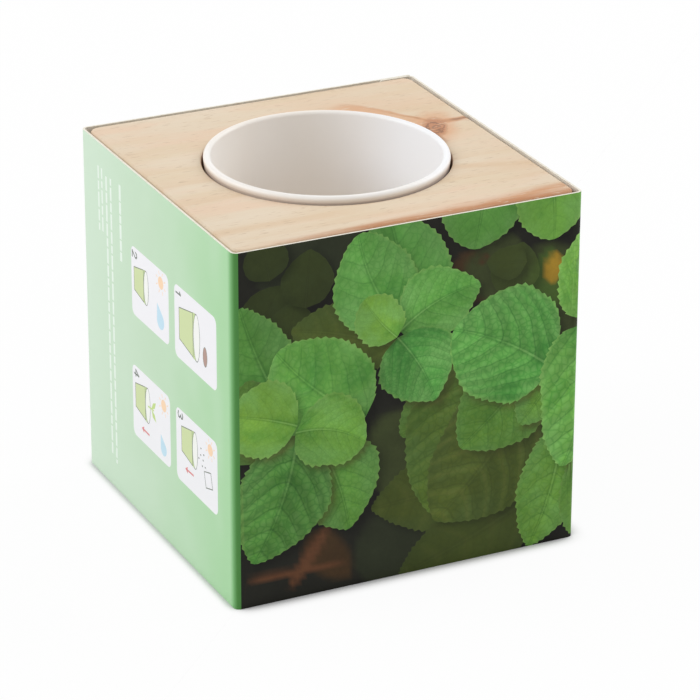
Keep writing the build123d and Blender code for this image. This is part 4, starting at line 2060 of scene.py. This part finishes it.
@dataclass
class SeedSachet:
    """Two webs of brown paper, sealed round their edges, with the seeds between them."""

    bottom: float = WEB.bottom
    length: float = WEB.width
    width: float = WEB.depth
    seal: float = 2.4
    paper: float = WEB.height
    swell: float = 1.9
    shoulder: float = 4.1
    corner_blend: float = 1.3
    pleat_reach: float = 3.2
    pleat_depth: float = 0.12
    crumple_depth: float = 0.10
    edge_wander: float = 0.18
    edge_start: float = 0.8
    pitch: float = 0.25

    def _rise(self, x: np.ndarray, y: np.ndarray) -> np.ndarray:
        """How far the upper web's outer face swells above its seal, in millimetres."""
        edge_x = self.length / 2 - self.seal - np.abs(x)
        edge_y = self.width / 2 - self.seal - np.abs(y)
        inward = np.minimum(edge_x, edge_y)
        corner = self.corner_blend
        blend = -np.log(np.exp(-edge_x / corner) + np.exp(-edge_y / corner)) * corner
        share = np.clip(np.minimum(blend, inward) / self.shoulder, 0, 1)
        dome = (self.swell - self.paper) * np.sqrt(np.clip(1 - (1 - share) ** 2, 0, 1))
        near_x = np.clip(1 - edge_x / self.pleat_reach, 0, 1)
        near_y = np.clip(1 - edge_y / self.pleat_reach, 0, 1)
        pleats = np.sin(x * 2.3 + 0.9 * np.sin(y * 0.8)) * near_y
        pleats += np.sin(y * 2.7 + 0.7 * np.sin(x * 0.7)) * near_x
        crumple = np.sin(x * 0.9 + y * 1.3) * np.sin(y * 0.7 - x * 0.5)
        taut = np.clip(share * 3, 0, 1)
        sunk = self.crumple_depth * (1 + crumple) * share + self.pleat_depth * np.abs(pleats)
        return dome - taut * sunk

    def _wander(self, place: np.ndarray, half: float, waves: np.ndarray) -> np.ndarray:
        """How far the web's edge is drawn in, towards the middle, in millimetres.

        Args:
            place: The place across that edge.
            half: How far the edge lies from the middle.
            waves: The wave of that edge, between -1 and 1.

        Returns:
            The step to take from the place.
        """
        by_edge = np.clip(np.abs(place) - (half - self.edge_start), 0, 1)
        return np.sign(place) * self.edge_wander * by_edge * np.abs(waves)

    def _web(self, name: str, upper: bool) -> bpy.types.Object:
        """Makes one web as a thin closed sheet.

        Args:
            name: The piece's name.
            upper: Whether it is the swollen web.

        Returns:
            The web.
        """
        across = round(self.length / self.pitch)
        along = round(self.width / self.pitch)
        level = self.bottom + self.paper * (2 if upper else 1)
        web = Bench.begin(
            name,
            bpy.ops.mesh.primitive_grid_add,
            x_subdivisions=across,
            y_subdivisions=along,
            size=1.0,
            location=(0, 0, level * MM),
        )
        Bench.pick("verts", lambda v: True)
        share = (self.length * MM, self.width * MM, 1.0)
        bpy.ops.transform.resize(value=share, center_override=(0, 0, 0))
        bpy.ops.object.mode_set(mode="OBJECT")
        count = len(web.data.vertices)
        places = np.zeros(count * 3)
        web.data.vertices.foreach_get("co", places)
        places = places.reshape(-1, 3) / MM
        x, y = places[:, 0], places[:, 1]
        if upper:
            places[:, 2] += self._rise(x, y)
        places[:, 0] -= self._wander(x, self.length / 2, np.sin(y * 1.9))
        places[:, 1] -= self._wander(y, self.width / 2, np.sin(x * 1.7))
        web.data.vertices.foreach_set("co", (places * MM).reshape(-1))
        web.data.update()
        Bench.apply(web, "SOLIDIFY", thickness=self.paper * MM, offset=-1.0)
        bpy.ops.object.shade_smooth_by_angle(angle=math.radians(50))
        return web

    def build(self, finish: PaperFinish) -> None:
        """Builds, dresses and enlists both webs.

        Args:
            finish: The paper.
        """
        paper = finish.build()
        lower = self._web("sachet_lower_web", False)
        Bench.dress(lower, paper)
        Bench.enlist(lower, "sachet", "sachet_paper", "sachet_back_web")
        upper = self._web("sachet_upper_web", True)
        Bench.dress(upper, paper)
        Bench.enlist(upper, "sachet", "sachet_paper", "sachet_front_web")


@dataclass
class LooseSeeds:
    """The seeds in the sachet: plump, pointed at one end, spread along a spiral."""

    rest_gap: float = 0.03
    length: float = 1.3
    girth: float = 0.9
    fullness: float = 0.96
    tip_share: float = 0.62
    count: int = 18
    pitch: float = 1.35
    squeeze: float = WEB.depth / WEB.width

    def build(self, finish: SeedFinish) -> bpy.types.Object:
        """Shapes one seed, copies it, and dresses and enlists them all.

        Args:
            finish: The seed coat.

        Returns:
            The seeds as one piece.
        """
        seed = Bench.begin(
            "loose_seeds",
            bpy.ops.mesh.primitive_uv_sphere_add,
            segments=12,
            ring_count=8,
            radius=0.5 * MM,
            rotation=(0, math.pi / 2, 0),
        )
        Bench.pick("verts", lambda v: True)
        girth = self.girth * self.fullness
        share = (self.length * self.fullness, girth, girth)
        bpy.ops.transform.resize(value=share, center_override=(0, 0, 0))
        Bench.pick("verts", lambda v: v.co.x > 0.35 * MM)
        taper = (1, self.tip_share, self.tip_share)
        bpy.ops.transform.resize(value=taper, center_override=(0, 0, 0))
        Bench.done(180.0)
        shape = seed.data
        level = WEB.top + self.rest_gap + self.girth / 2
        copies: list[bpy.types.Object] = []
        for number in range(self.count):
            turn = GOLDEN_TURN * number
            reach = self.pitch * math.sqrt(number + 1 / 2)
            spot = Vector((reach * math.cos(turn), reach * math.sin(turn) * self.squeeze, level)) * MM
            copy = bpy.data.objects.new(f"seed_{number}", shape.copy())
            copy.data.transform(Matrix.Translation(spot) @ Matrix.Rotation(turn, 4, "Z"))
            bpy.context.scene.collection.objects.link(copy)
            copies.append(copy)
        bpy.data.objects.remove(seed)
        Bench.select(*copies)
        bpy.ops.object.join()
        seeds = bpy.context.object
        seeds.name = "loose_seeds"
        Bench.dress(seeds, finish.build())
        Bench.enlist(seeds, "sachet", "seed_coat", "herb_seeds")
        return seeds


# The studio


@dataclass
class Studio:
    """Pale floor, soft light from both sides, and the camera of the photograph."""

    azimuth: float = -26.0
    elevation: float = 23.875
    roll: float = 0.218
    distance: float = 753.5
    lens: float = 190.84
    shift_right: float = 4.73
    shift_up: float = -3.75
    aim_height: float = BLOCK.height / 2
    sensor: float = 36.0
    clip: Range = (0.01, 100.0)
    ambient: float = 0.62
    floor_size: float = 40.0
    floor_colour: Colour = (0.9, 0.9, 0.9, 1.0)
    shade_colour: Colour = (0.42, 0.42, 0.43, 1.0)
    white: Colour = (1.0, 1.0, 1.0, 1.0)
    floor_glow: float = 0.95
    contact_reach: float = 4.5
    left_reach: float = 2.2
    left_soft: float = 2.5
    lamp_size: float = 1.0
    lamp_aim: Triple = (0.0, 0.0, 0.04)
    lamps: tuple[tuple[str, Triple, float], ...] = (
        ("soft_left", (-1.3, 0.5, 1.0), 11.2),
        ("soft_right", (1.35, 0.1, 0.95), 10.0),
    )

    def build(self) -> None:
        """Sets up the view, the world, the floor, the lamps and the camera."""
        bpy.context.scene.view_settings.view_transform = "Standard"
        self._world()
        self._floor()
        for name, place, power in self.lamps:
            self._lamp(name, place, power)
        self._camera()

    @staticmethod
    def _seen(recipe: Recipe) -> Signal:
        """1 for rays that show a background: camera, glossy and transmission rays."""
        path = recipe.node("ShaderNodeLightPath").socket.node.outputs
        camera, glossy, through = (
            Signal(recipe, path[name])
            for name in ("Is Camera Ray", "Is Glossy Ray", "Is Transmission Ray")
        )
        return recipe.maths("MAXIMUM", recipe.maths("MAXIMUM", camera, glossy), through)

    def _world(self) -> None:
        """A white surround, which lights the object more softly than it shows."""
        world = bpy.data.worlds.new("studio_surround")
        bpy.context.scene.world = world
        recipe = Recipe(world)
        seen = self._seen(recipe)
        strength = seen * (1.0 - self.ambient) + self.ambient
        sockets = {"Color": self.white, "Strength": strength}
        recipe.close("ShaderNodeOutputWorld", recipe.node("ShaderNodeBackground", {}, sockets))

    def _floor(self) -> None:
        """A wide pale floor that keeps the object's shadow."""
        Bench.clear()
        bpy.ops.mesh.primitive_plane_add(size=self.floor_size, location=(0, 0, 0))
        floor = bpy.context.object
        floor.name = "studio_floor"
        recipe = Recipe.material("pale_floor")
        lit = recipe.node("ShaderNodeBsdfDiffuse", {}, {"Color": self.floor_colour})
        glow = recipe.node("ShaderNodeEmission", {}, {"Color": self.white, "Strength": 1.0})
        dark = recipe.node("ShaderNodeBsdfDiffuse", {}, {"Color": self.shade_colour})
        # The shade is narrower along the left edge, as in the photograph.
        x, _, _ = recipe.axes
        left = -SLEEVE.width / 2
        spread = recipe.rise(x, left - self.left_soft, left + self.left_soft)
        spread = spread * (self.contact_reach - self.left_reach)
        sockets = {"Distance": (spread + self.left_reach) * MM}
        hidden = recipe.node("ShaderNodeAmbientOcclusion", {"samples": 16}, sockets, "AO")
        crease = recipe.rise(hidden, 0.80, 0.45) * 0.65
        lit = recipe.node("ShaderNodeMixShader", {}, {0: crease, 1: lit, 2: dark})
        share = self._seen(recipe) * recipe.rise(hidden, 0.46, 0.98) * self.floor_glow
        mixed = recipe.node("ShaderNodeMixShader", {}, {0: share, 1: lit, 2: glow})
        recipe.close("ShaderNodeOutputMaterial", mixed)
        Bench.dress(floor, recipe.owner)

    def _lamp(self, name: str, place: Triple, power: float) -> None:
        """Adds a large soft lamp that points at the object.

        Args:
            name: The lamp's name.
            place: Where it hangs, in metres.
            power: Its power in watts.
        """
        lamp = bpy.data.lights.new(name, "AREA")
        lamp.shape = "SQUARE"
        lamp.size = self.lamp_size
        lamp.energy = power
        holder = bpy.data.objects.new(name, lamp)
        bpy.context.scene.collection.objects.link(holder)
        holder.location = place
        way = Vector(self.lamp_aim) - holder.location
        holder.rotation_euler = way.to_track_quat("-Z", "Y").to_euler()

    def _camera(self) -> None:
        """The camera that the photograph was taken with."""
        bearing, rise, roll = (
            math.radians(angle) for angle in (self.azimuth, self.elevation, self.roll)
        )
        level = math.cos(rise)
        back = Vector((math.sin(bearing) * level, -math.cos(bearing) * level, math.sin(rise)))
        level_right = Vector((0, 0, 1)).cross(back).normalized()
        level_up = back.cross(level_right)
        right = level_right * math.cos(roll) + level_up * math.sin(roll)
        up = level_up * math.cos(roll) - level_right * math.sin(roll)
        aim = Vector((0, 0, self.aim_height))
        eye = aim + back * self.distance + right * self.shift_right + up * self.shift_up
        camera = bpy.data.cameras.new("studio_camera")
        camera.lens = self.lens
        camera.sensor_width = self.sensor
        camera.clip_start, camera.clip_end = self.clip
        holder = bpy.data.objects.new("studio_camera", camera)
        bpy.context.scene.collection.objects.link(holder)
        turn = Matrix((right, up, back)).transposed().to_4x4()
        holder.matrix_world = Matrix.Translation(eye * MM) @ turn
        bpy.context.scene.camera = holder


def main() -> None:
    """Builds the studio and every piece of the planter in order."""
    logging.basicConfig(level=logging.INFO, format="%(name)s %(message)s")
    Studio().build()
    PineBlock().build(PineFinish())
    CardSleeve().build()
    LinerPot().build(LinerFinish())
    SoilPellet().build(SoilFinish())
    SeedSachet().build(PaperFinish())
    LooseSeeds().build(SeedFinish())


if __name__ == "__main__":
    main()
